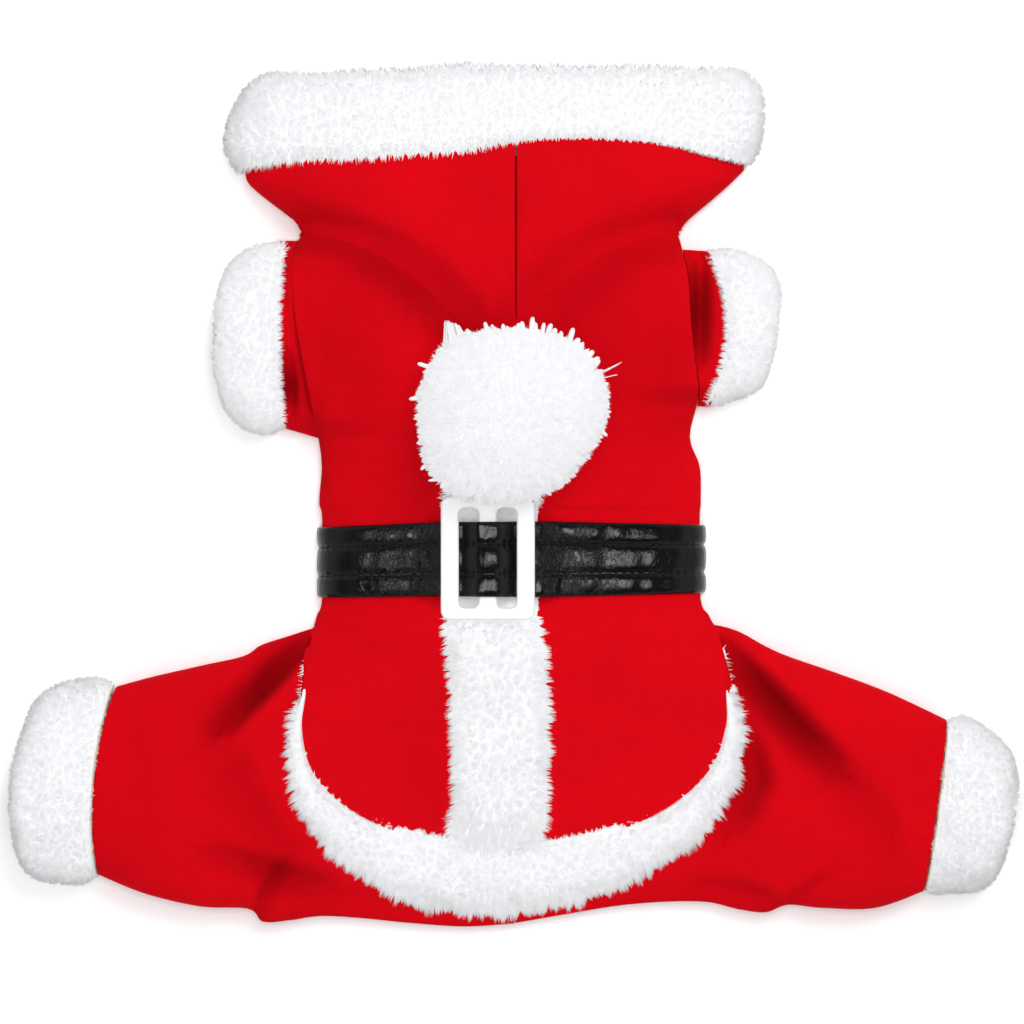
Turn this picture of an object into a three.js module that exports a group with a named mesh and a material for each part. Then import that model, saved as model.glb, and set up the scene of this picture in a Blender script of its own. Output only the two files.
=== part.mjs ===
// A hooded four-legged pet costume in red fleece with white plush trims, laid flat on its belly.
// Millimetres, +Z up, +Y towards the hood, +X to the garment's left as it lies. The origin is on the
// surface it lies on, under the middle of its outline.

import * as THREE from "three";

// Cloth and gaps
const CLOTH = 2;
const SEAM = 0.3;
const LAY = 0.8;
const NEARBY = 2;
const FLOOR_EDGE = CLOTH + SEAM;

// Belt and slide buckle
const STRAP = 1.6;
const BUCKLE = { x: -10.6, y: -24.5, width: 37.4, length: 49.2, bar: 7.2, endBar: 4.8, corner: 3, thick: 2.6, bevel: 0.3 };
const BUCKLE_BASE = 25.8;
const BUCKLE_TOP = BUCKLE_BASE + BUCKLE.thick + 2 * BUCKLE.bevel;
const SLOT_RADIUS = 2.4;

// Pompom
const POMPOM = { x: -1.4, y: 34.5, z: 46, halfWidth: 38, halfLength: 37, halfHeight: 26, rootShare: 0.76 };

// How flat a puffed section is: its middle is level and its sides come down steeply
const ARCH = { power: 2.4, root: 0.5 };
const TUBE_ROOT = 0.62;

const COLOURS = {
  fleece: { color: 0xd80d18, roughness: 0.92, metalness: 0 },
  plush: { color: 0xf4f4f6, roughness: 1, metalness: 0 },
  strap: { color: 0x17181b, roughness: 0.32, metalness: 0 },
  plastic: { color: 0xf6f8fb, roughness: 0.35, metalness: 0 },
};

// The back of the coat from the neck seam to the tail hem. Each row is a line across it: its two ends, how far
// up the coat the ends and the middle lie, and the height of the middle above the floor.
const BACK = [
  { left: -84.2, right: 65.0, side: 107.4, middle: 107.4, top: 19, lean: 0 },
  { left: -88.0, right: 67.4, side: 100.0, middle: 100.0, top: 20, lean: 0 },
  { left: -89.0, right: 69.6, side: 86.0, middle: 86.0, top: 21, lean: 0 },
  { left: -87.4, right: 70.6, side: 70.0, middle: 70.0, top: 21.5, lean: 0 },
  { left: -85.0, right: 72.2, side: 55.0, middle: 55.0, top: 21.5, lean: 0 },
  { left: -82.0, right: 73.8, side: 40.0, middle: 40.0, top: 21.5, lean: 0 },
  { left: -79.0, right: 70.6, side: 24.0, middle: 24.0, top: 21.5, lean: 0 },
  { left: -77.6, right: 74.6, side: 12.0, middle: 12.0, top: 21.5, lean: 0 },
  { left: -78.6, right: 75.0, side: -2.0, middle: -2.0, top: 21, lean: 0 },
  { left: -77.4, right: 74.6, side: -9.6, middle: -9.6, top: 19.8, lean: 0 },
  { left: -77.4, right: 74.8, side: -40.4, middle: -40.4, top: 19.8, lean: 0 },
  { left: -79.6, right: 78.4, side: -48.0, middle: -49.0, top: 21, lean: 0 },
  { left: -81.4, right: 82.2, side: -56.0, middle: -63.0, top: 21, lean: 0 },
  { left: -82.8, right: 84.4, side: -66.0, middle: -89.0, top: 19, lean: -1 },
  { left: -84.6, right: 85.6, side: -76.0, middle: -115.0, top: 17, lean: -2 },
  { left: -85.8, right: 85.8, side: -87.0, middle: -141.0, top: 15, lean: -4 },
];
const BACK_CURVE = { power: 2, root: 0.45 };
const BACK_STEPS = 2;
const WAIST_ROW = 11.25;
const BELT_ROWS = [9.04, 9.5, 9.96];
const TAIL_TRIM_ROW = 12.5;
const ACROSS = 22;

// Armholes: the stretch of the coat's side that each sleeve is sewn to, and how high it stands open
const ARMHOLES = {
  left: { top: 103, bottom: 23.5, height: 12 },
  right: { top: 99.5, bottom: 36.5, height: 11 },
};

// Where the hood's centre seam runs, across the garment
const HOOD_SEAM_X = 0.6;

// The hood's crown from the brim to the fold that carries the pompom, in rows as on the back
const CROWN = [
  { left: -108.4, right: 92.4, side: 131.4, middle: 137.2, top: 25, power: 2, root: 1 },
  { left: -107.0, right: 87.0, side: 126.0, middle: 122.0, top: 26.5, power: 1.7, root: 1.2 },
  { left: -98.8, right: 78.8, side: 118.8, middle: 104.0, top: 27, power: 1.4, root: 1.5 },
  { left: -89.0, right: 70.0, side: 111.4, middle: 84.0, top: 28, power: 1.1, root: 1.8 },
  { left: -86.8, right: 67.6, side: 108.3, middle: 59.0, top: 27, power: 1, root: 2 },
];
const CROWN_STEPS = 4;
const CROWN_LINES = [0, 0.07, 0.15, 0.25, 0.36, 0.48, 0.6, 0.72, 0.82, 0.9, 0.96, 1];
const NAPE_REACH = 0.7;
const CHIN_LINES = [0, 0.25, 0.5, 0.75, 1];

// Rings of the plush bands and of the sleeves. A is the end towards the hood (or the hood's left end), B the
// other end, bow bulges the line between them outwards, top is the outer height and inner the bore's height.
const HOOD_TRIM = [
  { ax: -111.6, ay: 131.6, bx: 96.4, by: 132.6, bow: 5.8, top: 26, inner: 17 },
  { ax: -117.4, ay: 139.0, bx: 100.0, by: 141.0, bow: 3.6, top: 28, inner: 17 },
  { ax: -116.2, ay: 150.0, bx: 100.8, by: 152.0, bow: 2.4, top: 28, inner: 17 },
  { ax: -110.4, ay: 161.6, bx: 99.6, by: 163.4, bow: 2.4, top: 26, inner: 17.5 },
  { ax: -103.0, ay: 167.0, bx: 93.6, by: 169.6, bow: 2.4, top: 21.5, inner: 18 },
];
const SLEEVE_CUFFS = {
  left: [
    { ax: -91.0, ay: 103.0, bx: -91.8, by: 28.2, bow: 2.6, top: 20, inner: 13 },
    { ax: -97.0, ay: 102.6, bx: -98.0, by: 24.6, bow: 2.2, top: 23, inner: 13 },
    { ax: -105.6, ay: 101.2, bx: -106.4, by: 25.4, bow: 2.4, top: 24, inner: 13 },
    { ax: -112.6, ay: 95.6, bx: -114.4, by: 32.6, bow: 3, top: 22, inner: 13.5 },
    { ax: -115.6, ay: 87.0, bx: -117.6, by: 43.0, bow: 2.8, top: 17, inner: 14 },
  ],
  right: [
    { ax: 76.8, ay: 98.6, bx: 75.2, by: 36.0, bow: 8.6, top: 20, inner: 13 },
    { ax: 83.0, ay: 100.4, bx: 81.4, by: 36.0, bow: 8, top: 23, inner: 13 },
    { ax: 92.0, ay: 98.6, bx: 89.8, by: 38.6, bow: 6, top: 24, inner: 13 },
    { ax: 100.4, ay: 94.4, bx: 96.8, by: 42.4, bow: 3.6, top: 22, inner: 13.5 },
    { ax: 104.8, ay: 87.6, bx: 99.4, by: 49.6, bow: 1.8, top: 17, inner: 14 },
  ],
};
const SLEEVE_STATIONS = [
  { share: 0, rise: 0 },
  { share: 0.35, rise: 1 },
  { share: 0.7, rise: 3.5 },
  { share: 1, rise: 5 },
];
const TROUSER_CUFFS = {
  left: [
    { ax: -160.4, ay: -73.6, bx: -167.2, by: -154.4, bow: 4.4, top: 24, inner: 18 },
    { ax: -168.0, ay: -71.8, bx: -175.6, by: -156.4, bow: 4.4, top: 27, inner: 18 },
    { ax: -181.0, ay: -73.6, bx: -187.0, by: -155.4, bow: 4.4, top: 28, inner: 18 },
    { ax: -190.6, ay: -81.0, bx: -194.6, by: -151.0, bow: 4.4, top: 26, inner: 18.5 },
    { ax: -194.6, ay: -93.0, bx: -198.0, by: -144.0, bow: 3.4, top: 21, inner: 19 },
  ],
  right: [
    { ax: 174.0, ay: -87.8, bx: 164.6, by: -160.2, bow: 0, top: 24, inner: 18 },
    { ax: 181.4, ay: -88.0, bx: 172.4, by: -160.6, bow: 0.6, top: 27, inner: 18 },
    { ax: 191.4, ay: -93.6, bx: 183.4, by: -159.6, bow: 1, top: 28, inner: 18 },
    { ax: 198.4, ay: -101.6, bx: 189.6, by: -156.0, bow: 1.2, top: 26, inner: 18.5 },
    { ax: 200.6, ay: -110.0, bx: 193.2, by: -149.0, bow: 1, top: 21, inner: 19 },
  ],
};
const BAND = { side: 7, under: 3.5 };
const RING_HALF = 14;

// The trousers from the centre seam to the cuff seam: the line across each leg runs from the hip edge (A) to the
// lower edge (B). open is 1 where the hip edge is the open waist and 0 where it closes onto the front layer, and
// waist is how much higher the waist edge stands.
const TROUSERS = {
  left: [
    { ax: -0.2, ay: -50.3, bx: -0.2, by: -171.8, bow: 0, top: 10, open: 1, waist: 6.4 },
    { ax: -20.0, ay: -50.3, bx: -20.0, by: -173.0, bow: 0, top: 10, open: 1, waist: 6 },
    { ax: -42.0, ay: -50.3, bx: -42.0, by: -171.6, bow: 0, top: 10.5, open: 1, waist: 4.4 },
    { ax: -62.0, ay: -50.3, bx: -62.0, by: -169.6, bow: 0, top: 11.5, open: 0.8, waist: 0 },
    { ax: -79.0, ay: -52.6, bx: -78.0, by: -168.8, bow: 0, top: 13.5, open: 0, waist: 0 },
    { ax: -91.0, ay: -56.2, bx: -90.0, by: -170.4, bow: 0, top: 16, open: 0, waist: 0 },
    { ax: -102.0, ay: -59.8, bx: -101.0, by: -171.0, bow: 0, top: 19, open: 0, waist: 0 },
    { ax: -109.0, ay: -64.2, bx: -107.0, by: -165.8, bow: 0, top: 21, open: 0, waist: 0 },
    { ax: -125.0, ay: -67.8, bx: -126.0, by: -164.8, bow: 0.8, top: 23, open: 0, waist: 0 },
    { ax: -146.0, ay: -72.6, bx: -148.0, by: -159.8, bow: 2.6, top: 22, open: 0, waist: 0 },
    { ax: -160.0, ay: -76.4, bx: -166.8, by: -152.2, bow: 4.4, top: 20, open: 0, waist: 0 },
  ],
  right: [
    { ax: 0.2, ay: -50.3, bx: 0.2, by: -171.6, bow: 0, top: 10, open: 1, waist: 6.4 },
    { ax: 20.0, ay: -50.3, bx: 20.0, by: -168.2, bow: 0, top: 10, open: 1, waist: 6 },
    { ax: 42.0, ay: -50.3, bx: 42.0, by: -164.6, bow: 0, top: 10.5, open: 1, waist: 4.4 },
    { ax: 62.0, ay: -50.3, bx: 62.0, by: -163.0, bow: 0, top: 11.5, open: 0.8, waist: 0 },
    { ax: 79.0, ay: -51.4, bx: 78.0, by: -163.2, bow: 0, top: 13.5, open: 0, waist: 0 },
    { ax: 90.0, ay: -54.2, bx: 90.0, by: -166.0, bow: 0, top: 16, open: 0, waist: 0 },
    { ax: 101.0, ay: -60.2, bx: 101.0, by: -167.2, bow: 0, top: 19, open: 0, waist: 0 },
    { ax: 111.0, ay: -64.6, bx: 110.0, by: -164.2, bow: 0, top: 21, open: 0, waist: 0 },
    { ax: 128.0, ay: -70.4, bx: 124.0, by: -165.4, bow: 0, top: 23, open: 0, waist: 0 },
    { ax: 150.0, ay: -78.6, bx: 145.0, by: -165.4, bow: 0, top: 22, open: 0, waist: 0 },
    { ax: 173.4, ay: -89.6, bx: 164.0, by: -158.8, bow: 0, top: 20, open: 0, waist: 0 },
  ],
};
// Troughs pressed into the trouser legs: from one point to another, their depth and half width
const CREASES = [
  { ax: -88, ay: -64, bx: -122, by: -94, depth: 5, width: 8 },
  { ax: -104, ay: -146, bx: -134, by: -142, depth: 2.4, width: 7 },
  { ax: -99, ay: -168, bx: -96, by: -154, depth: 5, width: 5 },
  { ax: 98, ay: -70, bx: 128, by: -103, depth: 5, width: 8 },
  { ax: 90, ay: -112, bx: 106, by: -134, depth: 3, width: 9 },
  { ax: 111, ay: -163, bx: 110, by: -148, depth: 5, width: 5 },
];
const TROUSER_STEPS = 2;
const LEG_LINES = 14;

// The plush strip down the middle of the back, by row of the back: its two edges and its pile
const PLACKET = [
  { row: 5.5, left: -19.0, right: 13.0, pile: 4 },
  { row: 6.4, left: -25.0, right: 13.4, pile: 7 },
  { row: 7.4, left: -28.6, right: 12.8, pile: 6.5 },
  { row: 7.8, left: -28.9, right: 12.6, pile: 2.4 },
  { row: 9.5, left: -28.8, right: 12.4, pile: 2.2 },
  { row: 11, left: -28.6, right: 12.4, pile: 2.4 },
  { row: 11.4, left: -28.4, right: 12.8, pile: 5.6 },
  { row: 12, left: -27.2, right: 14.2, pile: 8 },
  { row: 13, left: -25.2, right: 15.4, pile: 8.4 },
  { row: 14, left: -25.0, right: 15.2, pile: 8.4 },
  { row: 15, left: -27.0, right: 12.4, pile: 8.4 },
];
const PLACKET_STEPS = 2;
const PLACKET_LINES = 8;

// The plush band on the tail hem, by share of the way round the edge from left to right
const TAIL_TRIM = [
  { share: 0, width: 1.6, pile: 3.5 },
  { share: 0.09, width: 5, pile: 6 },
  { share: 0.156, width: 9, pile: 8 },
  { share: 0.231, width: 17, pile: 9.5 },
  { share: 0.289, width: 22, pile: 10 },
  { share: 0.371, width: 26.6, pile: 10 },
  { share: 0.483, width: 27.2, pile: 10 },
  { share: 0.623, width: 23, pile: 10 },
  { share: 0.706, width: 20.6, pile: 10 },
  { share: 0.757, width: 18.4, pile: 9.5 },
  { share: 0.836, width: 12.6, pile: 8.5 },
  { share: 0.869, width: 9, pile: 8 },
  { share: 0.928, width: 5.6, pile: 6 },
  { share: 1, width: 2, pile: 3.5 },
];
const TAIL_TRIM_LINES = 7;

// Where the strap leaves the coat, goes under the buckle's side bars and over its centre bar: offset from the
// buckle's middle and height of the strap's underside
const STRAP_PASS = [
  { offset: -27, under: 18.9 },
  { offset: -22, under: 21.6 },
  { offset: -18.6, under: 23.8 },
  { offset: -14, under: 23.9 },
  { offset: -10.4, under: 23.9 },
  { offset: -4, under: BUCKLE_TOP + SEAM },
  { offset: 0, under: BUCKLE_TOP + SEAM },
  { offset: 4, under: BUCKLE_TOP + SEAM },
  { offset: 10.4, under: 23.9 },
  { offset: 14, under: 23.9 },
  { offset: 18.6, under: 23.9 },
  { offset: 22.4, under: 23.2 },
  { offset: 27, under: 20.4 },
];

// Smooth value of a table's column at a fractional row
function column(rows, key, at) {
  const row = Math.min(Math.max(Math.floor(at), 0), rows.length - 2);
  const part = at - row;
  const value = (i) => rows[Math.min(Math.max(i, 0), rows.length - 1)][key];
  const [a, b, c, d] = [value(row - 1), value(row), value(row + 1), value(row + 2)];
  const bend = 2 * a - 5 * b + 4 * c - d + part * (3 * (b - c) + d - a);
  return b + 0.5 * part * (c - a + part * bend);
}

// Smooth value of a table's column at a value of its own key column, such as share
function lookUp(rows, by, key, at) {
  const last = rows.findIndex((row) => row[by] >= at);
  const high = Math.max(last < 0 ? rows.length - 1 : last, 1);
  const low = high - 1;
  const part = (at - rows[low][by]) / (rows[high][by] - rows[low][by]);
  return column(rows, key, low + THREE.MathUtils.clamp(part, 0, 1));
}

// Evenly spaced numbers from a to b, both included
function spread(a, b, steps) {
  return Array.from({ length: steps + 1 }, (_, i) => a + ((b - a) * i) / steps);
}

// Lines across a panel from one side (-1) to the other (1), closer together near the sides
function lines(steps) {
  return spread(-1, 1, steps).map((u) => Math.sin((u * Math.PI) / 2));
}

const fall = (s, { power, root }) => Math.max(0, 1 - Math.abs(s) ** power) ** root;
const fold = (grid, move) => grid.map((row) => row.map(move));

// Directions at right angles to a grid of points
function normals(grid) {
  const rows = grid.length - 1;
  const columns = grid[0].length - 1;
  const upward = grid.map((row, i) =>
    row.map((_, j) => {
      const along = grid[Math.min(i + 1, rows)][j].clone().sub(grid[Math.max(i - 1, 0)][j]);
      const across = row[Math.min(j + 1, columns)].clone().sub(row[Math.max(j - 1, 0)]);
      return across.cross(along).negate().normalize();
    }),
  );
  const total = upward.flat().reduce((sum, n) => sum + n.z, 0);
  return total < 0 ? fold(upward, (n) => n.clone().negate()) : upward;
}

// A closed body from its points and triangles, turned so that its faces point outwards
function body(points, triangles) {
  const volume = triangles.reduce((sum, [a, b, c]) => {
    const turned = points[b].clone().cross(points[c]);
    return sum + points[a].dot(turned);
  }, 0);
  const index = triangles.flatMap(([a, b, c]) => (volume < 0 ? [a, c, b] : [a, b, c]));
  const geometry = new THREE.BufferGeometry();
  geometry.setAttribute("position", new THREE.Float32BufferAttribute(points.flatMap((p) => p.toArray()), 3));
  geometry.setIndex(index);
  geometry.computeVertexNormals();
  return geometry;
}

// The solid between an upper and a lower grid of points
function slab(upper, lower) {
  const rows = upper.length;
  const columns = upper[0].length;
  const points = [...upper.flat(), ...lower.flat()];
  const high = (i, j) => i * columns + j;
  const low = (i, j) => rows * columns + high(i, j);
  const triangles = [];
  for (let i = 0; i < rows - 1; i += 1) {
    for (let j = 0; j < columns - 1; j += 1) {
      triangles.push([high(i, j), high(i + 1, j), high(i + 1, j + 1)]);
      triangles.push([high(i, j), high(i + 1, j + 1), high(i, j + 1)]);
      triangles.push([low(i, j), low(i + 1, j + 1), low(i + 1, j)]);
      triangles.push([low(i, j), low(i, j + 1), low(i + 1, j + 1)]);
    }
  }
  const border = [
    ...spread(0, columns - 2, columns - 2).map((j) => [0, j]),
    ...spread(0, rows - 2, rows - 2).map((i) => [i, columns - 1]),
    ...spread(columns - 1, 1, columns - 2).map((j) => [rows - 1, j]),
    ...spread(rows - 1, 1, rows - 2).map((i) => [i, 0]),
  ];
  border.forEach((p, k) => {
    const q = border[(k + 1) % border.length];
    triangles.push([high(...p), high(...q), low(...q)]);
    triangles.push([high(...p), low(...q), low(...p)]);
  });
  return body(points, triangles);
}

// The wall between outer and inner rings, open at both ends
function tube(outer, inner) {
  const stations = outer.length;
  const count = outer[0].length;
  const points = [...outer.flat(), ...inner.flat()];
  const out = (i, j) => i * count + (j % count);
  const within = (i, j) => stations * count + out(i, j);
  const triangles = [];
  const quad = (a, b, c, d) => triangles.push([a, b, c], [a, c, d]);
  for (let j = 0; j < count; j += 1) {
    for (let i = 0; i < stations - 1; i += 1) {
      quad(out(i, j), out(i, j + 1), out(i + 1, j + 1), out(i + 1, j));
      quad(within(i, j), within(i + 1, j), within(i + 1, j + 1), within(i, j + 1));
    }
    quad(within(0, j), within(0, j + 1), out(0, j + 1), out(0, j));
    quad(out(stations - 1, j), out(stations - 1, j + 1), within(stations - 1, j + 1), within(stations - 1, j));
  }
  return body(points, triangles);
}

// The height of whatever lies highest under a point and close around it
function surfaceOf(...meshes) {
  const ray = new THREE.Raycaster();
  const down = new THREE.Vector3(0, 0, -1);
  const above = 200;
  const around = [[0, 0], [NEARBY, 0], [-NEARBY, 0], [0, NEARBY], [0, -NEARBY]];
  return (x, y) => {
    const heights = around.map(([dx, dy]) => {
      ray.set(new THREE.Vector3(x + dx, y + dy, above), down);
      const hits = ray.intersectObjects(meshes, false);
      return hits.length ? hits[0].point.z : 0;
    });
    return Math.max(...heights);
  };
}

function piece(name, geometry, finish) {
  const mesh = new THREE.Mesh(geometry, new THREE.MeshStandardMaterial(COLOURS[finish]));
  mesh.name = name;
  mesh.updateMatrixWorld();
  return mesh;
}

// A sheet of cloth of even thickness under the given outer points, lifted clear of what it lies on
function cloth(points, under) {
  const laid = fold(points, (p) => {
    const least = under(p.x, p.y) + LAY + CLOTH;
    return under(p.x, p.y) > CLOTH + 1e-3 ? new THREE.Vector3(p.x, p.y, Math.max(p.z, least)) : p;
  });
  const out = normals(laid);
  const inland = (i, list) => THREE.MathUtils.clamp(i, 1, list.length - 2);
  const inside = laid.map((row, i) =>
    row.map((p, j) => {
      const outwards = p.clone().sub(laid[inland(i, laid)][inland(j, row)]).setZ(0);
      const away = outwards.dot(out[i][j]) < 0 ? new THREE.Vector3(0, 0, 1) : out[i][j];
      const moved = p.clone().addScaledVector(away, -CLOTH);
      moved.z = Math.max(moved.z, Math.min(FLOOR_EDGE, p.z));
      return moved;
    }),
  );
  return slab(laid, inside);
}

// A flat layer on the floor with the outline of a grid of points
function layer(points) {
  const at = (z) => fold(points, (p) => new THREE.Vector3(p.x, p.y, z));
  return slab(at(CLOTH), at(0));
}

// Points of the back of the coat
function armholeHeight({ top, bottom, height }, y) {
  const part = THREE.MathUtils.clamp((top - y) / (top - bottom), 0, 1);
  return height * (2 * Math.sqrt(part * (1 - part))) ** TUBE_ROOT;
}

function backPoint(s, row) {
  const [left, right, side, middle, top, lean] = ["left", "right", "side", "middle", "top", "lean"].map((key) =>
    column(BACK, key, row),
  );
  const bowed = fall(s, BACK_CURVE);
  const x = (left + right) / 2 + ((right - left) / 2) * s + lean * bowed;
  const y = side + (middle - side) * bowed;
  const armhole = armholeHeight(s < 0 ? ARMHOLES.left : ARMHOLES.right, side);
  const edge = Math.max(FLOOR_EDGE, armhole);
  return new THREE.Vector3(x, y, edge + (top - edge) * fall(s, ARCH));
}

function backRows(from, to, steps) {
  return spread(from, to, Math.round((to - from) * steps));
}

// Where the coat's side lies at a given height up the coat
function sideX(s, y) {
  const edge = backRows(0, BACK.length - 1, 20).map((row) => backPoint(s, row));
  const next = Math.max(edge.findIndex((p) => p.y <= y), 1);
  const [a, b] = [edge[next - 1], edge[next]];
  return THREE.MathUtils.lerp(a.x, b.x, (a.y - y) / (a.y - b.y));
}

// The line across a leg, sleeve or band that a table row describes
function lineOf({ ax, ay, bx, by, bow }, axis) {
  return (t) => {
    const bulge = bow * 4 * t * (1 - t);
    return [
      THREE.MathUtils.lerp(ax, bx, t) + axis.x * bulge,
      THREE.MathUtils.lerp(ay, by, t) + axis.y * bulge,
    ];
  };
}

// A closed flattened ring over a line: rounded above, flat below
function ring(line, { inset, floor, edge, top }) {
  const [start, end] = [line(0), line(1)];
  const margin = inset / Math.hypot(end[0] - start[0], end[1] - start[1]);
  const point = (share, z) => new THREE.Vector3(...line(margin + share * (1 - 2 * margin)), z);
  const turns = spread(0, Math.PI, RING_HALF);
  const above = turns.map((turn) =>
    point((1 - Math.cos(turn)) / 2, edge + (top - edge) * Math.max(0, Math.sin(turn)) ** TUBE_ROOT),
  );
  const below = turns.slice(1, -1).reverse().map((turn) => point((1 - Math.cos(turn)) / 2, floor));
  return [...above, ...below];
}

// A plush band: a thick wall round an open bore, flattened where it lies on the floor
function plushBand(name, stations, axis) {
  const outer = stations.map((row) => ring(lineOf(row, axis), { inset: 0, floor: 0, edge: 5, top: row.top }));
  const inner = stations.map((row) =>
    ring(lineOf(row, axis), { inset: BAND.side, floor: BAND.under, edge: BAND.under + 1, top: row.inner }),
  );
  return piece(name, tube(outer, inner), "plush");
}

// A short sleeve from the armhole to its cuff
function sleeve(name, side, s, axis) {
  const armhole = ARMHOLES[side];
  const cuffLine = lineOf(SLEEVE_CUFFS[side][0], axis);
  const armholeLine = (t) => {
    const y = THREE.MathUtils.lerp(armhole.top, armhole.bottom, t);
    return [sideX(s, y) + s * SEAM, y];
  };
  const stations = SLEEVE_STATIONS.map(({ share, rise }) => ({
    line: (t) => {
      const [a, b] = [armholeLine(t), cuffLine(t)];
      return [THREE.MathUtils.lerp(a[0], b[0] - s * 2 * SEAM, share), THREE.MathUtils.lerp(a[1], b[1], share)];
    },
    top: armhole.height + rise,
  }));
  const outer = stations.map(({ line, top }) => ring(line, { inset: 0, floor: 0, edge: 1, top }));
  const inner = stations.map(({ line, top }) =>
    ring(line, { inset: CLOTH, floor: CLOTH, edge: CLOTH + 0.5, top: top - CLOTH }),
  );
  return piece(name, tube(outer, inner), "fleece");
}

// How far the creases press a point of the trousers down
function pressed(x, y) {
  const point = new THREE.Vector3(x, y, 0);
  const nearest = new THREE.Vector3();
  return CREASES.reduce((sum, { ax, ay, bx, by, depth, width }) => {
    const line = new THREE.Line3(new THREE.Vector3(ax, ay, 0), new THREE.Vector3(bx, by, 0));
    const away = line.closestPointToPoint(point, true, nearest).distanceTo(point) / width;
    return sum + depth * Math.exp(-2 * away * away);
  }, 0);
}

// Points of one trouser half, from the hip edge (0) to the lower edge (1) of each line
function trouserGrid(rows, axis, steps) {
  return spread(0, rows.length - 1, (rows.length - 1) * steps).map((at) => {
    const keys = ["ax", "ay", "bx", "by", "bow", "top", "open", "waist"];
    const row = Object.fromEntries(keys.map((key) => [key, column(rows, key, at)]));
    const line = lineOf(row, axis);
    const open = THREE.MathUtils.clamp(row.open, 0, 1);
    return spread(0, Math.PI, LEG_LINES).map((turn) => {
      const t = (1 - Math.cos(turn)) / 2;
      const round = Math.max(0, Math.sin(turn)) ** TUBE_ROOT;
      const share = t < 0.5 ? THREE.MathUtils.lerp(round, 1, open) : round;
      const waist = Math.max(row.waist, 0) * (1 - t) ** 2;
      const [x, y] = line(t);
      return new THREE.Vector3(x, y, FLOOR_EDGE + (row.top - FLOOR_EDGE - pressed(x, y)) * share + waist);
    });
  });
}

function crownPoint(s, row) {
  const keys = ["left", "right", "side", "middle", "top", "power", "root"];
  const [left, right, side, middle, top, power, root] = keys.map((key) => column(CROWN, key, row));
  const x = (left + right) / 2 + ((right - left) / 2) * s;
  const y = side + (middle - side) * fall(s, { power, root });
  return new THREE.Vector3(x, y, FLOOR_EDGE + (top - FLOOR_EDGE) * fall(s, ARCH));
}

// Half of the hood's crown, with its edge on the centre seam
function crown(name, sign, under) {
  const rows = spread(0, CROWN.length - 1, (CROWN.length - 1) * CROWN_STEPS);
  const grid = rows.map((row) => {
    const [left, right] = ["left", "right"].map((key) => column(CROWN, key, row));
    const seam = (2 * HOOD_SEAM_X - left - right) / (right - left);
    return CROWN_LINES.map((line) => {
      const p = crownPoint(THREE.MathUtils.lerp(seam, sign, line), row);
      if (line === 0) p.x += sign * SEAM;
      return p;
    });
  });
  return piece(name, cloth(grid, under), "fleece");
}

// Half of the hood's front, folded under the crown and lying on the floor
function cheek(name, sign) {
  const last = CROWN.length - 1;
  const grid = spread(0, last, last).map((row) =>
    CHIN_LINES.map((line) => {
      const p = crownPoint(sign * line, row);
      const bow = (CROWN[0].middle - CROWN[0].side) * (1 - line ** 2) * (1 - row / last);
      p.y = column(CROWN, "side", row) + bow;
      if (line === 0) p.x += sign * SEAM;
      return p;
    }),
  );
  return piece(name, layer(grid), "fleece");
}

// The back of the hood, folded under the crown from the neck seam to the tip
function nape(under) {
  const last = CROWN.length - 1;
  const neck = BACK[0].side - SEAM;
  const columns = spread(-NAPE_REACH, NAPE_REACH, 14);
  const grid = spread(0, 1, 5).map((share) =>
    columns.map((s) => {
      const foldEdge = crownPoint(s, last);
      const y = THREE.MathUtils.lerp(neck, foldEdge.y, share);
      return new THREE.Vector3(foldEdge.x, y, 0);
    }),
  );
  return piece("hood_nape", cloth(grid, under), "fleece");
}

// The strip down the middle of the back
function placket(under) {
  const rows = spread(0, PLACKET.length - 1, (PLACKET.length - 1) * PLACKET_STEPS);
  const at = (gap) =>
    rows.map((index) => {
      const row = THREE.MathUtils.lerp(PLACKET[Math.floor(index)].row, PLACKET[Math.ceil(index)].row, index % 1);
      const [left, right, pile] = ["left", "right", "pile"].map((key) => column(PLACKET, key, index));
      const [coatLeft, coatRight] = ["left", "right"].map((key) => column(BACK, key, row));
      return lines(PLACKET_LINES).map((s) => {
        const x = (left + right) / 2 + ((right - left) / 2) * s;
        const across = (2 * x - coatLeft - coatRight) / (coatRight - coatLeft);
        const p = backPoint(across, row);
        const rise = gap ? 0 : pile * (0.35 + 0.65 * fall(s, ARCH));
        return new THREE.Vector3(p.x, p.y + (row === BACK.length - 1 ? SEAM : 0), under(p.x, p.y + SEAM) + LAY + rise);
      });
    });
  return piece("placket_trim", slab(at(false), at(true)), "plush");
}

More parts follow.
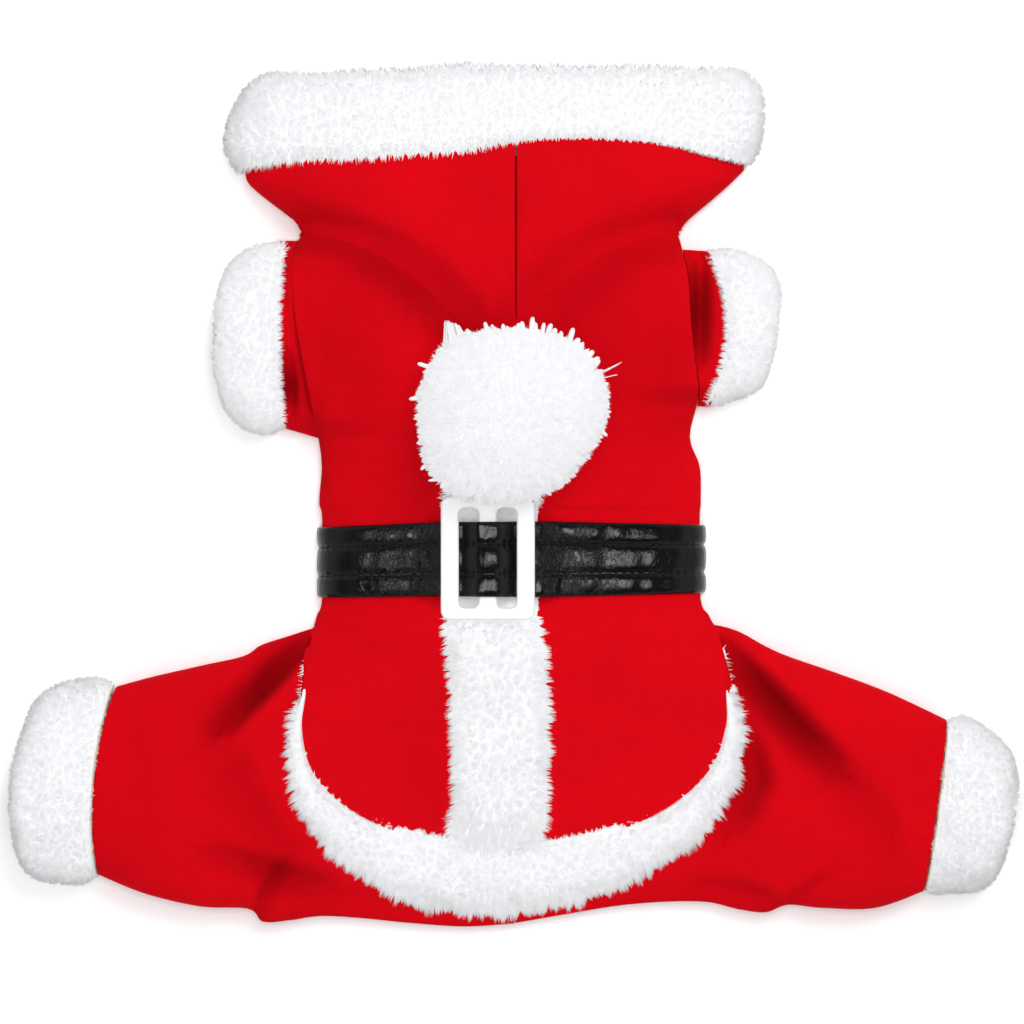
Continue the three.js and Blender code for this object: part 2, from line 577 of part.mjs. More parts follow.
// The plush band sewn to the tail's edge
function tailTrim(under) {
  const end = BACK.length - 1;
  const sideRows = backRows(TAIL_TRIM_ROW, end - 1 / BACK_STEPS, BACK_STEPS);
  const edge = [
    ...sideRows.map((row) => backPoint(-1, row)),
    ...lines(ACROSS).map((s) => backPoint(s, end)),
    ...sideRows.reverse().map((row) => backPoint(1, row)),
  ].map((p) => new THREE.Vector3(p.x, p.y, 0));
  const upward = new THREE.Vector3(0, 0, 1);
  const reached = [0];
  edge.slice(1).forEach((p, i) => reached.push(reached[i] + p.distanceTo(edge[i])));
  const stations = edge.map((at, i) => {
    const ahead = edge[Math.min(i + 1, edge.length - 1)];
    const out = ahead.clone().sub(edge[Math.max(i - 1, 0)]).normalize().cross(upward);
    return { share: reached[i] / reached[edge.length - 1], at, out };
  });
  const grid = (top) =>
    stations.map(({ share, at, out }) => {
      const width = lookUp(TAIL_TRIM, "share", "width", share);
      const pile = lookUp(TAIL_TRIM, "share", "pile", share);
      return lines(TAIL_TRIM_LINES).map((s) => {
        const p = at.clone().addScaledVector(out, LAY + (width * (1 + s)) / 2);
        const rise = top ? pile * (0.4 + 0.6 * fall(s, ARCH)) : 0;
        p.z = under(p.x, p.y) + LAY + rise;
        return p;
      });
    });
  return piece("tail_trim", slab(grid(true), grid(false)), "plush");
}

// The strap, from one side seam over the back and through the buckle to the other
function strap() {
  const reach = STRAP_PASS[STRAP_PASS.length - 1].offset + 1;
  const grid = BELT_ROWS.map((row) => {
    const sides = lines(ACROSS).map((s) => backPoint(s, row));
    const from = (points) => points.filter((p) => Math.abs(p.x - BUCKLE.x) > reach);
    const pass = STRAP_PASS.map(({ offset, under }) => new THREE.Vector3(BUCKLE.x + offset, sides[0].y, under));
    const [left, right] = [from(sides.filter((p) => p.x < BUCKLE.x)), from(sides.filter((p) => p.x > BUCKLE.x))];
    return { left, pass, right };
  });
  const outward = ({ left, pass, right }) => {
    const path = [...left, ...pass, ...right];
    const off = normals([path, path.map((p) => p.clone().setY(p.y - 1))])[0];
    const onCoat = (i) => i < left.length || i >= left.length + pass.length;
    const inner = path.map((p, i) => p.clone().addScaledVector(off[i], onCoat(i) ? SEAM : 0));
    inner[0].x = path[0].x - SEAM;
    inner[inner.length - 1].x = path[path.length - 1].x + SEAM;
    const hem = (p) => p.clone().setZ(SEAM);
    return [hem(inner[0]), ...inner, hem(inner[inner.length - 1])];
  };
  const inner = grid.map(outward);
  const off = normals(inner);
  const outer = inner.map((row, i) => row.map((p, j) => p.clone().addScaledVector(off[i][j], STRAP)));
  outer.forEach((row) => {
    row[0].z = SEAM;
    row[row.length - 1].z = SEAM;
  });
  return piece("belt_strap", slab(outer, inner), "strap");
}

function roundedRectangle(shape, x, y, width, height, radius) {
  const [right, top] = [x + width, y + height];
  shape.moveTo(x + radius, y);
  shape.lineTo(right - radius, y);
  shape.absarc(right - radius, y + radius, radius, -Math.PI / 2, 0, false);
  shape.lineTo(right, top - radius);
  shape.absarc(right - radius, top - radius, radius, 0, Math.PI / 2, false);
  shape.lineTo(x + radius, top);
  shape.absarc(x + radius, top - radius, radius, Math.PI / 2, Math.PI, false);
  shape.lineTo(x, y + radius);
  shape.absarc(x + radius, y + radius, radius, Math.PI, 1.5 * Math.PI, false);
  return shape;
}

// The slide buckle: a rounded frame with a centre bar between two slots
function buckle() {
  const { width, length, bar, endBar, corner, thick, bevel } = BUCKLE;
  const frame = roundedRectangle(new THREE.Shape(), -width / 2, -length / 2, width, length, corner);
  const slotWidth = (width - 3 * bar) / 2;
  [-width / 2 + bar, bar / 2].forEach((x) => {
    frame.holes.push(
      roundedRectangle(new THREE.Path(), x, -length / 2 + endBar, slotWidth, length - 2 * endBar, SLOT_RADIUS),
    );
  });
  const geometry = new THREE.ExtrudeGeometry(frame, {
    depth: thick, bevelEnabled: true, bevelThickness: bevel, bevelSize: bevel, bevelOffset: -bevel,
    bevelSegments: 1, curveSegments: 3,
  });
  const made = piece("buckle", geometry, "plastic");
  made.position.set(BUCKLE.x, BUCKLE.y, BUCKLE_BASE + bevel);
  return made;
}

// The pompom: a soft core with a lock of yarn on each face that stands clear of the coat
function pompom(under) {
  const { x, y, z, halfWidth, halfLength, halfHeight, rootShare } = POMPOM;
  const faces = new THREE.IcosahedronGeometry(1, 3).getAttribute("position");
  const place = (direction, share) => {
    const taper = direction.y < 0 ? 1 - 0.34 * direction.y ** 2 : 1;
    const p = new THREE.Vector3(
      x + direction.x * halfWidth * taper * share,
      y + direction.y * halfLength * share,
      z + direction.z * halfHeight * share,
    );
    p.z = Math.max(p.z, under(p.x, p.y) + LAY);
    return p;
  };
  const points = [];
  const triangles = [];
  const add = (corners) => corners.map((p) => points.push(p) - 1);
  const wall = (low, high) =>
    [0, 1, 2].forEach((i) => {
      const next = (i + 1) % 3;
      triangles.push([low[i], low[next], high[next]], [low[i], high[next], high[i]]);
    });
  for (let i = 0; i < faces.count; i += 3) {
    const corners = [0, 1, 2].map((k) => new THREE.Vector3().fromBufferAttribute(faces, i + k));
    const middle = corners[0].clone().add(corners[1]).add(corners[2]).normalize();
    const roots = add(corners.map((c) => place(c, rootShare)));
    if (middle.z < -0.42) {
      triangles.push(roots);
      continue;
    }
    const length = 1 - 0.1 * Math.abs(Math.sin(7.3 * i));
    const lean = new THREE.Vector3(Math.sin(2.1 * i), Math.cos(3.7 * i), 0).multiplyScalar(0.05);
    const inward = (share) => corners.map((c) => middle.clone().lerp(c, share));
    const base = add(inward(0.8).map((c) => place(c, rootShare)));
    const tip = add(inward(0.4).map((c) => place(c.add(lean), length)));
    wall(roots, base);
    wall(base, tip);
    triangles.push(tip);
  }
  return piece("pompom", body(points, triangles), "plush");
}

const LEFTWARDS = new THREE.Vector2(-1, 0);
const RIGHTWARDS = new THREE.Vector2(1, 0);
const UPWARDS = new THREE.Vector2(0, 1);
const onFloor = () => 0;

const coatLines = lines(ACROSS);
const bellyGrid = [...backRows(0, 11, BACK_STEPS), WAIST_ROW].map((row) =>
  lines(2).map((s) => {
    const p = backPoint(s, row);
    return p.setY(column(BACK, "side", row));
  }),
);
const belly = piece("belly_panel", layer(bellyGrid), "fleece");

const legs = Object.entries({ left: LEFTWARDS, right: RIGHTWARDS }).flatMap(([side, axis]) => {
  const upper = trouserGrid(TROUSERS[side], axis, TROUSER_STEPS);
  const lower = trouserGrid(TROUSERS[side], axis, 1).map((row) => row.filter((_, j) => j % (LEG_LINES / 2) === 0));
  return [
    piece(`trouser_${side}_back`, cloth(upper, onFloor), "fleece"),
    piece(`trouser_${side}_front`, layer(lower), "fleece"),
  ];
});
const legSurface = surfaceOf(...legs);

const backGrid = backRows(0, BACK.length - 1, BACK_STEPS).map((row) => coatLines.map((s) => backPoint(s, row)));
const back = piece("back_panel", cloth(backGrid, legSurface), "fleece");
const backSurface = surfaceOf(back);

const hoodNape = nape(backSurface);
const hoodSurface = surfaceOf(back, hoodNape);
const crowns = [crown("hood_left", -1, hoodSurface), crown("hood_right", 1, hoodSurface)];
const strip = placket(backSurface);

const costume = new THREE.Group();
costume.add(
  belly,
  ...legs,
  back,
  sleeve("sleeve_left", "left", -1, LEFTWARDS),
  sleeve("sleeve_right", "right", 1, RIGHTWARDS),
  plushBand("sleeve_cuff_left", SLEEVE_CUFFS.left, LEFTWARDS),
  plushBand("sleeve_cuff_right", SLEEVE_CUFFS.right, RIGHTWARDS),
  plushBand("trouser_cuff_left", TROUSER_CUFFS.left, LEFTWARDS),
  plushBand("trouser_cuff_right", TROUSER_CUFFS.right, RIGHTWARDS),
  hoodNape,
  ...crowns,
  cheek("hood_cheek_left", -1),
  cheek("hood_cheek_right", 1),
  plushBand("hood_trim", HOOD_TRIM, UPWARDS),
  strip,
  tailTrim(legSurface),
  strap(),
  buckle(),
  pompom(surfaceOf(back, strip, ...crowns)),
);

const outline = new THREE.Box3().setFromObject(costume);
costume.position.set(-(outline.min.x + outline.max.x) / 2, -(outline.min.y + outline.max.y) / 2, 0);

export default costume;
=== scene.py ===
"""Dresses the pet santa costume, laid flat and seen from above.

Smooth red fleece panels with listed creases, plush bands with real tufts, a cut-yarn pompom,
a stitched faux-leather belt and a moulded slide buckle. Sizes in the tables are millimetres.
"""

import logging
import math
from collections.abc import Callable, Sequence
from dataclasses import dataclass, field
from enum import Enum
from typing import Protocol

import bmesh
import bpy
import numpy as np
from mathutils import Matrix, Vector
from mathutils.bvhtree import BVHTree


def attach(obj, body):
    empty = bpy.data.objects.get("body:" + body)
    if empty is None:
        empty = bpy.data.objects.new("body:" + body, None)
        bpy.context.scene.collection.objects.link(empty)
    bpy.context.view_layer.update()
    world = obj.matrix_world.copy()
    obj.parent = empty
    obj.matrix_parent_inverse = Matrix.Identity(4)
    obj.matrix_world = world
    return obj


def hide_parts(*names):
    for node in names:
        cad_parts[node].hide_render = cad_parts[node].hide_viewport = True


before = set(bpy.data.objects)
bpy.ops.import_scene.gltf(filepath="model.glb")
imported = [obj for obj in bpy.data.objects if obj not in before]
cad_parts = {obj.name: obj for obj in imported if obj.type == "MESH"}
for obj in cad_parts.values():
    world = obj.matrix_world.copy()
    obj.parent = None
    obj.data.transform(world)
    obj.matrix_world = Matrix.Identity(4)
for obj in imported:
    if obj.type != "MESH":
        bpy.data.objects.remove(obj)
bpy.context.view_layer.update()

log = logging.getLogger("santa_costume")

MM = 0.001
CENTRING = np.array([-0.345, 1.065, 0.0])  # puts the outline's middle at the origin
CLOTH = 2.0  # thickness of the fleece
LAY = 0.8  # room between a sheet and what it lies on
FLOOR_EDGE = 2.3  # height of an upper layer's edge above the floor
SEAM = 0.3  # room at a seam, in place of thread
TUBE_ROOT = 0.62  # how full the round pieces are
ARCH = (2.4, 0.5)  # power and root of the flat pieces' cross-section
NOWHERE = -50.0  # a height for places with nothing underneath
CRISP = 50.0  # edges that turn by more degrees than this are shaded sharp
BELT_ROW = 9.5  # the row of BACK that the belt's middle follows
BUCKLE_REACH = 21.0  # how far to each side the buckle holds the strap up


class Table:
    """Rows of named numbers, read smoothly between the rows."""

    def __init__(self, keys: str, *rows: Sequence[float]) -> None:
        """Names the columns.

        Args:
            keys: the columns' names, with spaces between them.
            *rows: one tuple of numbers for each row.
        """
        self.columns = dict(zip(keys.split(), np.array(rows, float).T, strict=True))
        self.last = len(rows) - 1

    def at(self, key: str, where: np.ndarray | float) -> np.ndarray:
        """The column's value at fractional rows.

        Args:
            key: the column's name.
            where: the rows, from 0 to the last.

        Returns:
            One value for each place asked for.
        """
        values = self.columns[key]
        where = np.asarray(where, float)
        i = np.clip(np.floor(where).astype(int), 0, self.last - 1)
        t = where - i
        a, b, c, d = (values[np.clip(i + k, 0, self.last)] for k in (-1, 0, 1, 2))
        return b + 0.5 * t * (c - a + t * (2 * a - 5 * b + 4 * c - d + t * (3 * (b - c) + d - a)))

    def row_of(self, key: str, value: np.ndarray | float) -> np.ndarray:
        """The fractional rows at which a rising column has the given values."""
        return np.interp(value, self.columns[key], np.arange(self.last + 1))


BACK = Table(
    "left right side middle top lean",
    (-84.2, 65.0, 107.4, 107.4, 19, 0),
    (-88.0, 67.4, 100.0, 100.0, 20, 0),
    (-89.0, 69.6, 86.0, 86.0, 21, 0),
    (-87.4, 70.6, 70.0, 70.0, 21.5, 0),
    (-85.0, 72.2, 55.0, 55.0, 21.5, 0),
    (-82.0, 73.8, 40.0, 40.0, 21.5, 0),
    (-79.0, 70.6, 24.0, 24.0, 21.5, 0),
    (-77.6, 74.6, 12.0, 12.0, 21.5, 0),
    (-78.6, 75.0, -2.0, -2.0, 21, 0),
    (-77.4, 74.6, -9.6, -9.6, 19.8, 0),
    (-77.4, 74.8, -40.4, -40.4, 19.8, 0),
    (-79.6, 78.4, -48.0, -49.0, 21, 0),
    (-81.4, 82.2, -56.0, -63.0, 21, 0),
    (-82.8, 84.4, -66.0, -89.0, 19, -1),
    (-84.6, 85.6, -76.0, -115.0, 17, -2),
    (-85.8, 85.8, -87.0, -141.0, 15, -4),
)
CROWN = Table(
    "left right side middle top power root",
    (-108.4, 92.4, 131.4, 137.2, 25, 2, 1),
    (-107.0, 87.0, 126.0, 122.0, 26.5, 1.7, 1.2),
    (-98.8, 78.8, 118.8, 104.0, 27, 1.4, 1.5),
    (-89.0, 70.0, 111.4, 84.0, 28, 1.1, 1.8),
    (-86.8, 67.6, 108.3, 59.0, 27, 1, 2),
)
PLACKET = Table(
    "row left right pile",
    (5.5, -19.0, 13.0, 4),
    (6.4, -25.0, 13.4, 7),
    (7.4, -28.6, 12.8, 6.5),
    (7.8, -28.9, 12.6, 2.4),
    (9.5, -28.8, 12.4, 2.2),
    (11, -28.6, 12.4, 2.4),
    (11.4, -28.4, 12.8, 5.6),
    (12, -27.2, 14.2, 8),
    (13, -25.2, 15.4, 8.4),
    (14, -25.0, 15.2, 8.4),
    (15, -27.0, 12.4, 8.4),
)
TAIL_TRIM = Table(
    "share width pile",
    (0, 1.6, 3.5),
    (0.09, 5, 6),
    (0.156, 9, 8),
    (0.231, 17, 9.5),
    (0.289, 22, 10),
    (0.371, 26.6, 10),
    (0.483, 27.2, 10),
    (0.623, 23, 10),
    (0.706, 20.6, 10),
    (0.757, 18.4, 9.5),
    (0.836, 12.6, 8.5),
    (0.869, 9, 8),
    (0.928, 5.6, 6),
    (1, 2, 3.5),
)
RING = "ax ay bx by bow top inner"
HOOD_TRIM = Table(
    RING,
    (-111.6, 131.6, 96.4, 132.6, 5.8, 26, 17),
    (-117.4, 139.0, 100.0, 141.0, 3.6, 28, 17),
    (-116.2, 150.0, 100.8, 152.0, 2.4, 28, 17),
    (-110.4, 161.6, 99.6, 163.4, 2.4, 26, 17.5),
    (-103.0, 167.0, 93.6, 169.6, 2.4, 21.5, 18),
)
LEG = "ax ay bx by bow top open waist"


class Side(Enum):
    """The two sides of the garment as it is seen from above."""

    LEFT = -1
    RIGHT = 1

    @property
    def word(self) -> str:
        """The side's name as the nodes write it."""
        return self.name.lower()


SLEEVE_CUFFS = {
    Side.LEFT: Table(
        RING,
        (-91.0, 103.0, -91.8, 28.2, 2.6, 20, 13),
        (-97.0, 102.6, -98.0, 24.6, 2.2, 23, 13),
        (-105.6, 101.2, -106.4, 25.4, 2.4, 24, 13),
        (-112.6, 95.6, -114.4, 32.6, 3, 22, 13.5),
        (-115.6, 87.0, -117.6, 43.0, 2.8, 17, 14),
    ),
    Side.RIGHT: Table(
        RING,
        (76.8, 98.6, 75.2, 36.0, 8.6, 20, 13),
        (83.0, 100.4, 81.4, 36.0, 8, 23, 13),
        (92.0, 98.6, 89.8, 38.6, 6, 24, 13),
        (100.4, 94.4, 96.8, 42.4, 3.6, 22, 13.5),
        (104.8, 87.6, 99.4, 49.6, 1.8, 17, 14),
    ),
}
TROUSER_CUFFS = {
    Side.LEFT: Table(
        RING,
        (-160.4, -73.6, -167.2, -154.4, 4.4, 24, 18),
        (-168.0, -71.8, -175.6, -156.4, 4.4, 27, 18),
        (-181.0, -73.6, -187.0, -155.4, 4.4, 28, 18),
        (-190.6, -81.0, -194.6, -151.0, 4.4, 26, 18.5),
        (-194.6, -93.0, -198.0, -144.0, 3.4, 21, 19),
    ),
    Side.RIGHT: Table(
        RING,
        (174.0, -87.8, 164.6, -160.2, 0, 24, 18),
        (181.4, -88.0, 172.4, -160.6, 0.6, 27, 18),
        (191.4, -93.6, 183.4, -159.6, 1, 28, 18),
        (198.4, -101.6, 189.6, -156.0, 1.2, 26, 18.5),
        (200.6, -110.0, 193.2, -149.0, 1, 21, 19),
    ),
}
TROUSERS = {
    Side.LEFT: Table(
        LEG,
        (-0.2, -50.3, -0.2, -171.8, 0, 10, 1, 6.4),
        (-20.0, -50.3, -20.0, -173.0, 0, 10, 1, 6),
        (-42.0, -50.3, -42.0, -171.6, 0, 10.5, 1, 4.4),
        (-62.0, -50.3, -62.0, -169.6, 0, 11.5, 0.8, 0),
        (-79.0, -52.6, -78.0, -168.8, 0, 13.5, 0, 0),
        (-91.0, -56.2, -90.0, -170.4, 0, 16, 0, 0),
        (-102.0, -59.8, -101.0, -171.0, 0, 19, 0, 0),
        (-109.0, -64.2, -107.0, -165.8, 0, 21, 0, 0),
        (-125.0, -67.8, -126.0, -164.8, 0.8, 23, 0, 0),
        (-146.0, -72.6, -148.0, -159.8, 2.6, 22, 0, 0),
        (-160.0, -76.4, -166.8, -152.2, 4.4, 20, 0, 0),
    ),
    Side.RIGHT: Table(
        LEG,
        (0.2, -50.3, 0.2, -171.6, 0, 10, 1, 6.4),
        (20.0, -50.3, 20.0, -168.2, 0, 10, 1, 6),
        (42.0, -50.3, 42.0, -164.6, 0, 10.5, 1, 4.4),
        (62.0, -50.3, 62.0, -163.0, 0, 11.5, 0.8, 0),
        (79.0, -51.4, 78.0, -163.2, 0, 13.5, 0, 0),
        (90.0, -54.2, 90.0, -166.0, 0, 16, 0, 0),
        (101.0, -60.2, 101.0, -167.2, 0, 19, 0, 0),
        (111.0, -64.6, 110.0, -164.2, 0, 21, 0, 0),
        (128.0, -70.4, 124.0, -165.4, 0, 23, 0, 0),
        (150.0, -78.6, 145.0, -165.4, 0, 22, 0, 0),
        (173.4, -89.6, 164.0, -158.8, 0, 20, 0, 0),
    ),
}
SLEEVE = Table("share rise", (0, 0), (0.35, 1), (0.7, 3.5), (1, 5))


def smoothstep(value: np.ndarray | float, low: float, high: float) -> np.ndarray:
    """0 below low, 1 above high, and smooth between them."""
    t = np.clip((np.asarray(value, float) - low) / (high - low), 0, 1)
    return t * t * (3 - 2 * t)


@dataclass(frozen=True)
class Armhole:
    """The stretch of the coat's side that a sleeve is sewn to, and how high it stands open.

    The height eases from upper at its top end to lower at its bottom end.
    """

    top: float
    bottom: float
    upper: float
    lower: float
    ease: float = 9.0

    def lift(self, y: np.ndarray) -> np.ndarray:
        """How high the coat's edge stands at places up the coat."""
        part = np.clip((self.top - y) / (self.top - self.bottom), 0, 1)
        full = self.upper + (self.lower - self.upper) * smoothstep(part, 0.35, 0.95)
        inside = np.minimum(self.top - y, y - self.bottom)
        return FLOOR_EDGE + (full - FLOOR_EDGE) * smoothstep(inside, -1.0, self.ease)


ARMHOLES = {Side.LEFT: Armhole(103, 23.5, 18.5, 14), Side.RIGHT: Armhole(99.5, 36.5, 17, 16)}


@dataclass(frozen=True)
class Crease:
    """A soft trough, or a ridge where the depth is negative, along a line of points.

    One flank is steeper than the other, and both ends run out.
    """

    path: tuple[tuple[float, float], ...]
    depth: float
    width: float
    skew: float = 0.35

    def press(self, x: np.ndarray, y: np.ndarray) -> np.ndarray:
        """How far it presses down each of the given places."""
        best = np.full(x.shape, 1e9)
        across = np.zeros(x.shape)
        along = np.zeros(x.shape)
        lengths = [math.dist(p, q) for p, q in zip(self.path, self.path[1:])]
        done = 0.0
        for (ax, ay), (bx, by), length in zip(self.path, self.path[1:], lengths):
            dx, dy = (bx - ax) / length, (by - ay) / length
            t = np.clip((x - ax) * dx + (y - ay) * dy, 0, length)
            ox, oy = x - ax - t * dx, y - ay - t * dy
            distance = np.hypot(ox, oy)
            nearer = distance < best
            best = np.where(nearer, distance, best)
            across = np.where(nearer, np.sign(ox * dy - oy * dx), across)
            along = np.where(nearer, (done + t) / sum(lengths), along)
            done += length
        width = self.width * (1 + self.skew * across)
        run_out = np.sin(np.pi * np.clip(0.12 + 0.76 * along, 0, 1)) ** 0.8
        return self.depth * run_out * np.exp(-2 * (best / width) ** 2)


def pressed(creases: Sequence[Crease], x: np.ndarray, y: np.ndarray) -> np.ndarray:
    """What several creases do together at each of the given places."""
    return sum(crease.press(x, y) for crease in creases)


COAT_CREASES = (
    Crease(((-75.8, 68), (-77.5, 52), (-78.5, 38), (-78.6, 22)), 3.4, 5.5),
    Crease(((-69.5, 66), (-71.5, 46), (-71, 30)), -1.0, 6),
    Crease(((-79, 86), (-72, 76), (-60, 70)), 1.2, 9),
    Crease(((66, 74), (67.5, 52), (66, 34)), 1.1, 6),
    Crease(((-72, 14), (-62, 6), (-50, 1)), 1.0, 6),
    Crease(((71, 6), (60, 1), (50, 0)), 0.9, 5),
    Crease(((-71, -54), (-60, -60), (-46, -62)), 1.0, 6),
    Crease(((73, -52), (62, -60), (44, -64)), 1.1, 6),
    Crease(((-62, -84), (-45, -106), (-34, -124)), 1.7, 13),
    Crease(((64, -88), (51, -112), (38, -130)), 1.5, 12),
    Crease(((-66, -72), (-67, -92), (-58, -110)), -0.9, 9),
)
# Painted shade, not creases in the cloth: these lines only darken the fleece's red, through the stored shade
# attribute.
COAT_SHADES = (
    Crease(((-88, 108), (-64, 98), (-45, 86), (-27, 71), (-17, 60)), 0.55, 19, -0.3),
    Crease(((68, 107), (46, 95), (27, 78), (17, 66)), 0.34, 17, 0.3),
    Crease(((-74, 74), (-60, 44), (-52, 10)), 0.24, 34),
    Crease(((62, 76), (58, 46), (54, 10)), 0.22, 28),
    Crease(((-78, 40), (-78, 20), (-76, 2)), 0.25, 5),
)
# Painted shade, not creases in the cloth: these lines only darken the sleeves' red, through the stored shade
# attribute.
SLEEVE_SHADES = (
    Crease(((-91, 54), (-89.5, 45), (-88, 35)), 1.0, 7),
    Crease(((-80, 62), (-79, 46), (-78, 26)), 0.35, 7),
    Crease(((74, 90), (74, 73), (73, 57)), 0.9, 6),
)
LEG_CREASES = (
    Crease(((-80, -56), (-89, -66), (-100, -78), (-115, -93)), 14.0, 8, 0.5),
    Crease(((-88, -78), (-101, -92), (-110, -102)), -1.4, 7),
    Crease(((-112, -96), (-108, -118), (-96, -138), (-84, -148)), 4.2, 15),
    Crease(((-120, -142), (-104, -147), (-90, -152), (-74, -156)), 6.0, 9),
    Crease(((-103.8, -172), (-101, -160), (-94, -148)), 5.0, 5),
    Crease(((-152, -92), (-148, -118), (-150, -140)), 0.8, 9),
    Crease(((-66, -158), (-44, -163), (-20, -164)), 2.0, 6),
    Crease(((84, -60), (98, -74), (113, -90), (128, -106)), 13.0, 10),
    Crease(((100, -62), (118, -76), (136, -94)), -1.2, 8),
    Crease(((94, -94), (98, -114), (88, -132)), 8.0, 11),
    Crease(((122, -100), (136, -114), (149, -132), (152, -152)), 3.6, 12),
    Crease(((74, -155), (92, -157), (105, -162), (113, -168)), 4.0, 6),
    Crease(((110.5, -168), (112, -160), (124, -152)), 3.0, 5),
)
SLEEVE_CREASES = (
    Crease(((-86, 74), (-84, 60), (-82, 46), (-80, 24)), 4.0, 5),
    Crease(((-90.5, 56), (-89, 45), (-90, 33)), 4.5, 5),
    Crease(((74, 95), (74.5, 84), (74.5, 70), (73.5, 54)), 11.0, 5.5, 0.1),
)
POMPOM = Table(
    "y left right",
    (62.6, -20, 17),
    (61.8, -24, 21),
    (59.8, -28.5, 25),
    (55.0, -32.5, 30.0),
    (47.0, -36.0, 35.0),
    (39.0, -39.2, 38),
    (30.0, -38.8, 36.5),
    (22.0, -38.0, 33.0),
    (13.0, -35.5, 26.5),
    (6.0, -31.5, 20.0),
    (3.0, -30, 16.5),
    (0.5, -28, 14.0),
)
STRAYS = Table(
    "x y turn length girth",
    (-28.0, 57.5, 83, 11.8, 0.6),
    (-27.0, 57.5, 87, 11.9, 0.5),
    (-26.0, 57.5, 91, 11.8, 0.7),
    (-25.0, 57.8, 95, 11.3, 0.6),
    (-24.0, 58.0, 99, 11.0, 0.8),
    (-23.0, 58.2, 103, 10.6, 0.7),
    (-22.0, 58.5, 107, 10.3, 0.8),
    (-21.0, 58.8, 110, 10.0, 0.8),
    (-20.0, 59.0, 114, 9.8, 0.8),
    (-19.0, 59.2, 117, 9.5, 0.8),
    (-18.0, 59.5, 120, 9.2, 0.8),
    (31.0, 47.6, 22, 12.5, 0.24),
    (31.0, 46.6, 28, 12.0, 0.24),
    (31.5, 45.6, 17, 9.5, 0.22),
    (29.5, 29.4, -42, 9.0, 1.0),
    (20.0, 19.4, -34, 9.2, 1.0),
    (12.0, 12.0, -52, 8.5, 0.9),
    (-30.0, 16.4, 218, 9.2, 1.0),
    (-24.0, 7.0, 186, 10.0, 0.7),
    (-34.0, 38.6, 176, 7.5, 1.0),
    (-31.0, 50.0, 160, 7.6, 1.0),
)
PASSING = Table(
    "x z",
    (-27, 18.9),
    (-22, 21.6),
    (-18.6, 23.8),
    (-14, 23.9),
    (-9.6, 24.1),
    (-6.2, 26.6),
    (-3.6, 29.0),
    (0, 29.3),
    (3.6, 29.0),
    (6.2, 26.6),
    (9.6, 24.1),
    (14, 23.9),
    (18.6, 23.9),
    (22.4, 23.2),
    (27, 20.4),
)
EDGES = Table("x top low", (-79, -12.4, -40.5), (-29, -10.2, -39.8), (12, -9.9, -40.1), (76, -11.4, -38.7))
HOOD_CREASES = (
    Crease(((-92, 122), (-72, 110), (-48, 98), (-26, 84)), 1.5, 12),
    Crease(((76, 121), (56, 108), (34, 96)), 1.2, 12),
    Crease(((-40, 132), (-36, 118), (-38, 104)), 0.7, 9),
    Crease(((34, 134), (30, 120), (22, 106)), 0.7, 9),
)


class Undulation:
    """Slow, uneven waves for a stretch of cloth, the same ones each time."""

    def __init__(self, seed: int, size: float, waves: int = 7) -> None:
        """Draws the waves.

        Args:
            seed: of the random draws.
            size: the shortest wave in millimetres; the longest is three times that.
            waves: how many waves are added up.
        """
        draw = np.random.default_rng(seed)
        turn = draw.uniform(0, 2 * np.pi, waves)
        reach = 2 * np.pi / (size * draw.uniform(1, 3, waves))
        self.waves = np.stack([reach * np.cos(turn), reach * np.sin(turn)])
        self.phase = draw.uniform(0, 2 * np.pi, waves)

    def at(self, x: np.ndarray, y: np.ndarray) -> np.ndarray:
        """The sum of the waves, from about -1 to 1."""
        total = sum(
            np.sin(x * kx + y * ky + p)
            for kx, ky, p in zip(self.waves[0], self.waves[1], self.phase)
        )
        return total / math.sqrt(2 * len(self.phase))


def fall(s: np.ndarray, power: np.ndarray | float, root: np.ndarray | float) -> np.ndarray:
    """1 in the middle of a section (s = 0) and 0 at its sides (s = -1 and 1)."""
    return np.clip(1 - np.abs(s) ** power, 0, 1) ** root


def lines(steps: int) -> np.ndarray:
    """Places from -1 to 1, closer together near both ends."""
    return np.sin(np.linspace(-1, 1, steps + 1) * np.pi / 2)


def grid(*parts: np.ndarray) -> np.ndarray:
    """Stacks x, y and z into an array of points."""
    return np.stack(np.broadcast_arrays(*parts), axis=-1)


def smooth_max(a: np.ndarray, b: np.ndarray, soft: float) -> np.ndarray:
    """The higher of two heights, rounded where they cross."""
    return 0.5 * (a + b + np.sqrt((a - b) ** 2 + soft**2))


def normals(points: np.ndarray) -> np.ndarray:
    """Unit normals of a grid of points, upwards on the whole."""
    along = np.gradient(points, axis=0)
    across = np.gradient(points, axis=1)
    n = np.cross(across, along)
    n /= np.maximum(np.linalg.norm(n, axis=-1, keepdims=True), 1e-9)
    return -n if n[..., 2].sum() < 0 else n


class Terrain:
    """Surfaces that something else lies on, looked at from above."""

    def __init__(self, *grids: np.ndarray) -> None:
        """Keeps grids of points, in millimetres."""
        points, faces, start = [], [], 0
        for g in grids:
            n, m = g.shape[:2]
            points.extend(g.reshape(-1, 3).tolist())
            faces.extend(quads(start + np.arange(n * m).reshape(n, m), False).tolist())
            start += n * m
        self.tree = BVHTree.FromPolygons(points, faces)

    def height(self, x: np.ndarray, y: np.ndarray, missing: float = 0.0) -> np.ndarray:
        """The height of the highest surface at each place.

        Args:
            x: places across.
            y: places up the garment.
            missing: the height where there is no surface.

        Returns:
            One height for each place.
        """
        down = Vector((0, 0, -1))
        found = [
            self.tree.ray_cast(Vector((px, py, 300.0)), down)[0] for px, py in zip(x.flat, y.flat)
        ]
        return np.array([missing if hit is None else hit.z for hit in found]).reshape(x.shape)


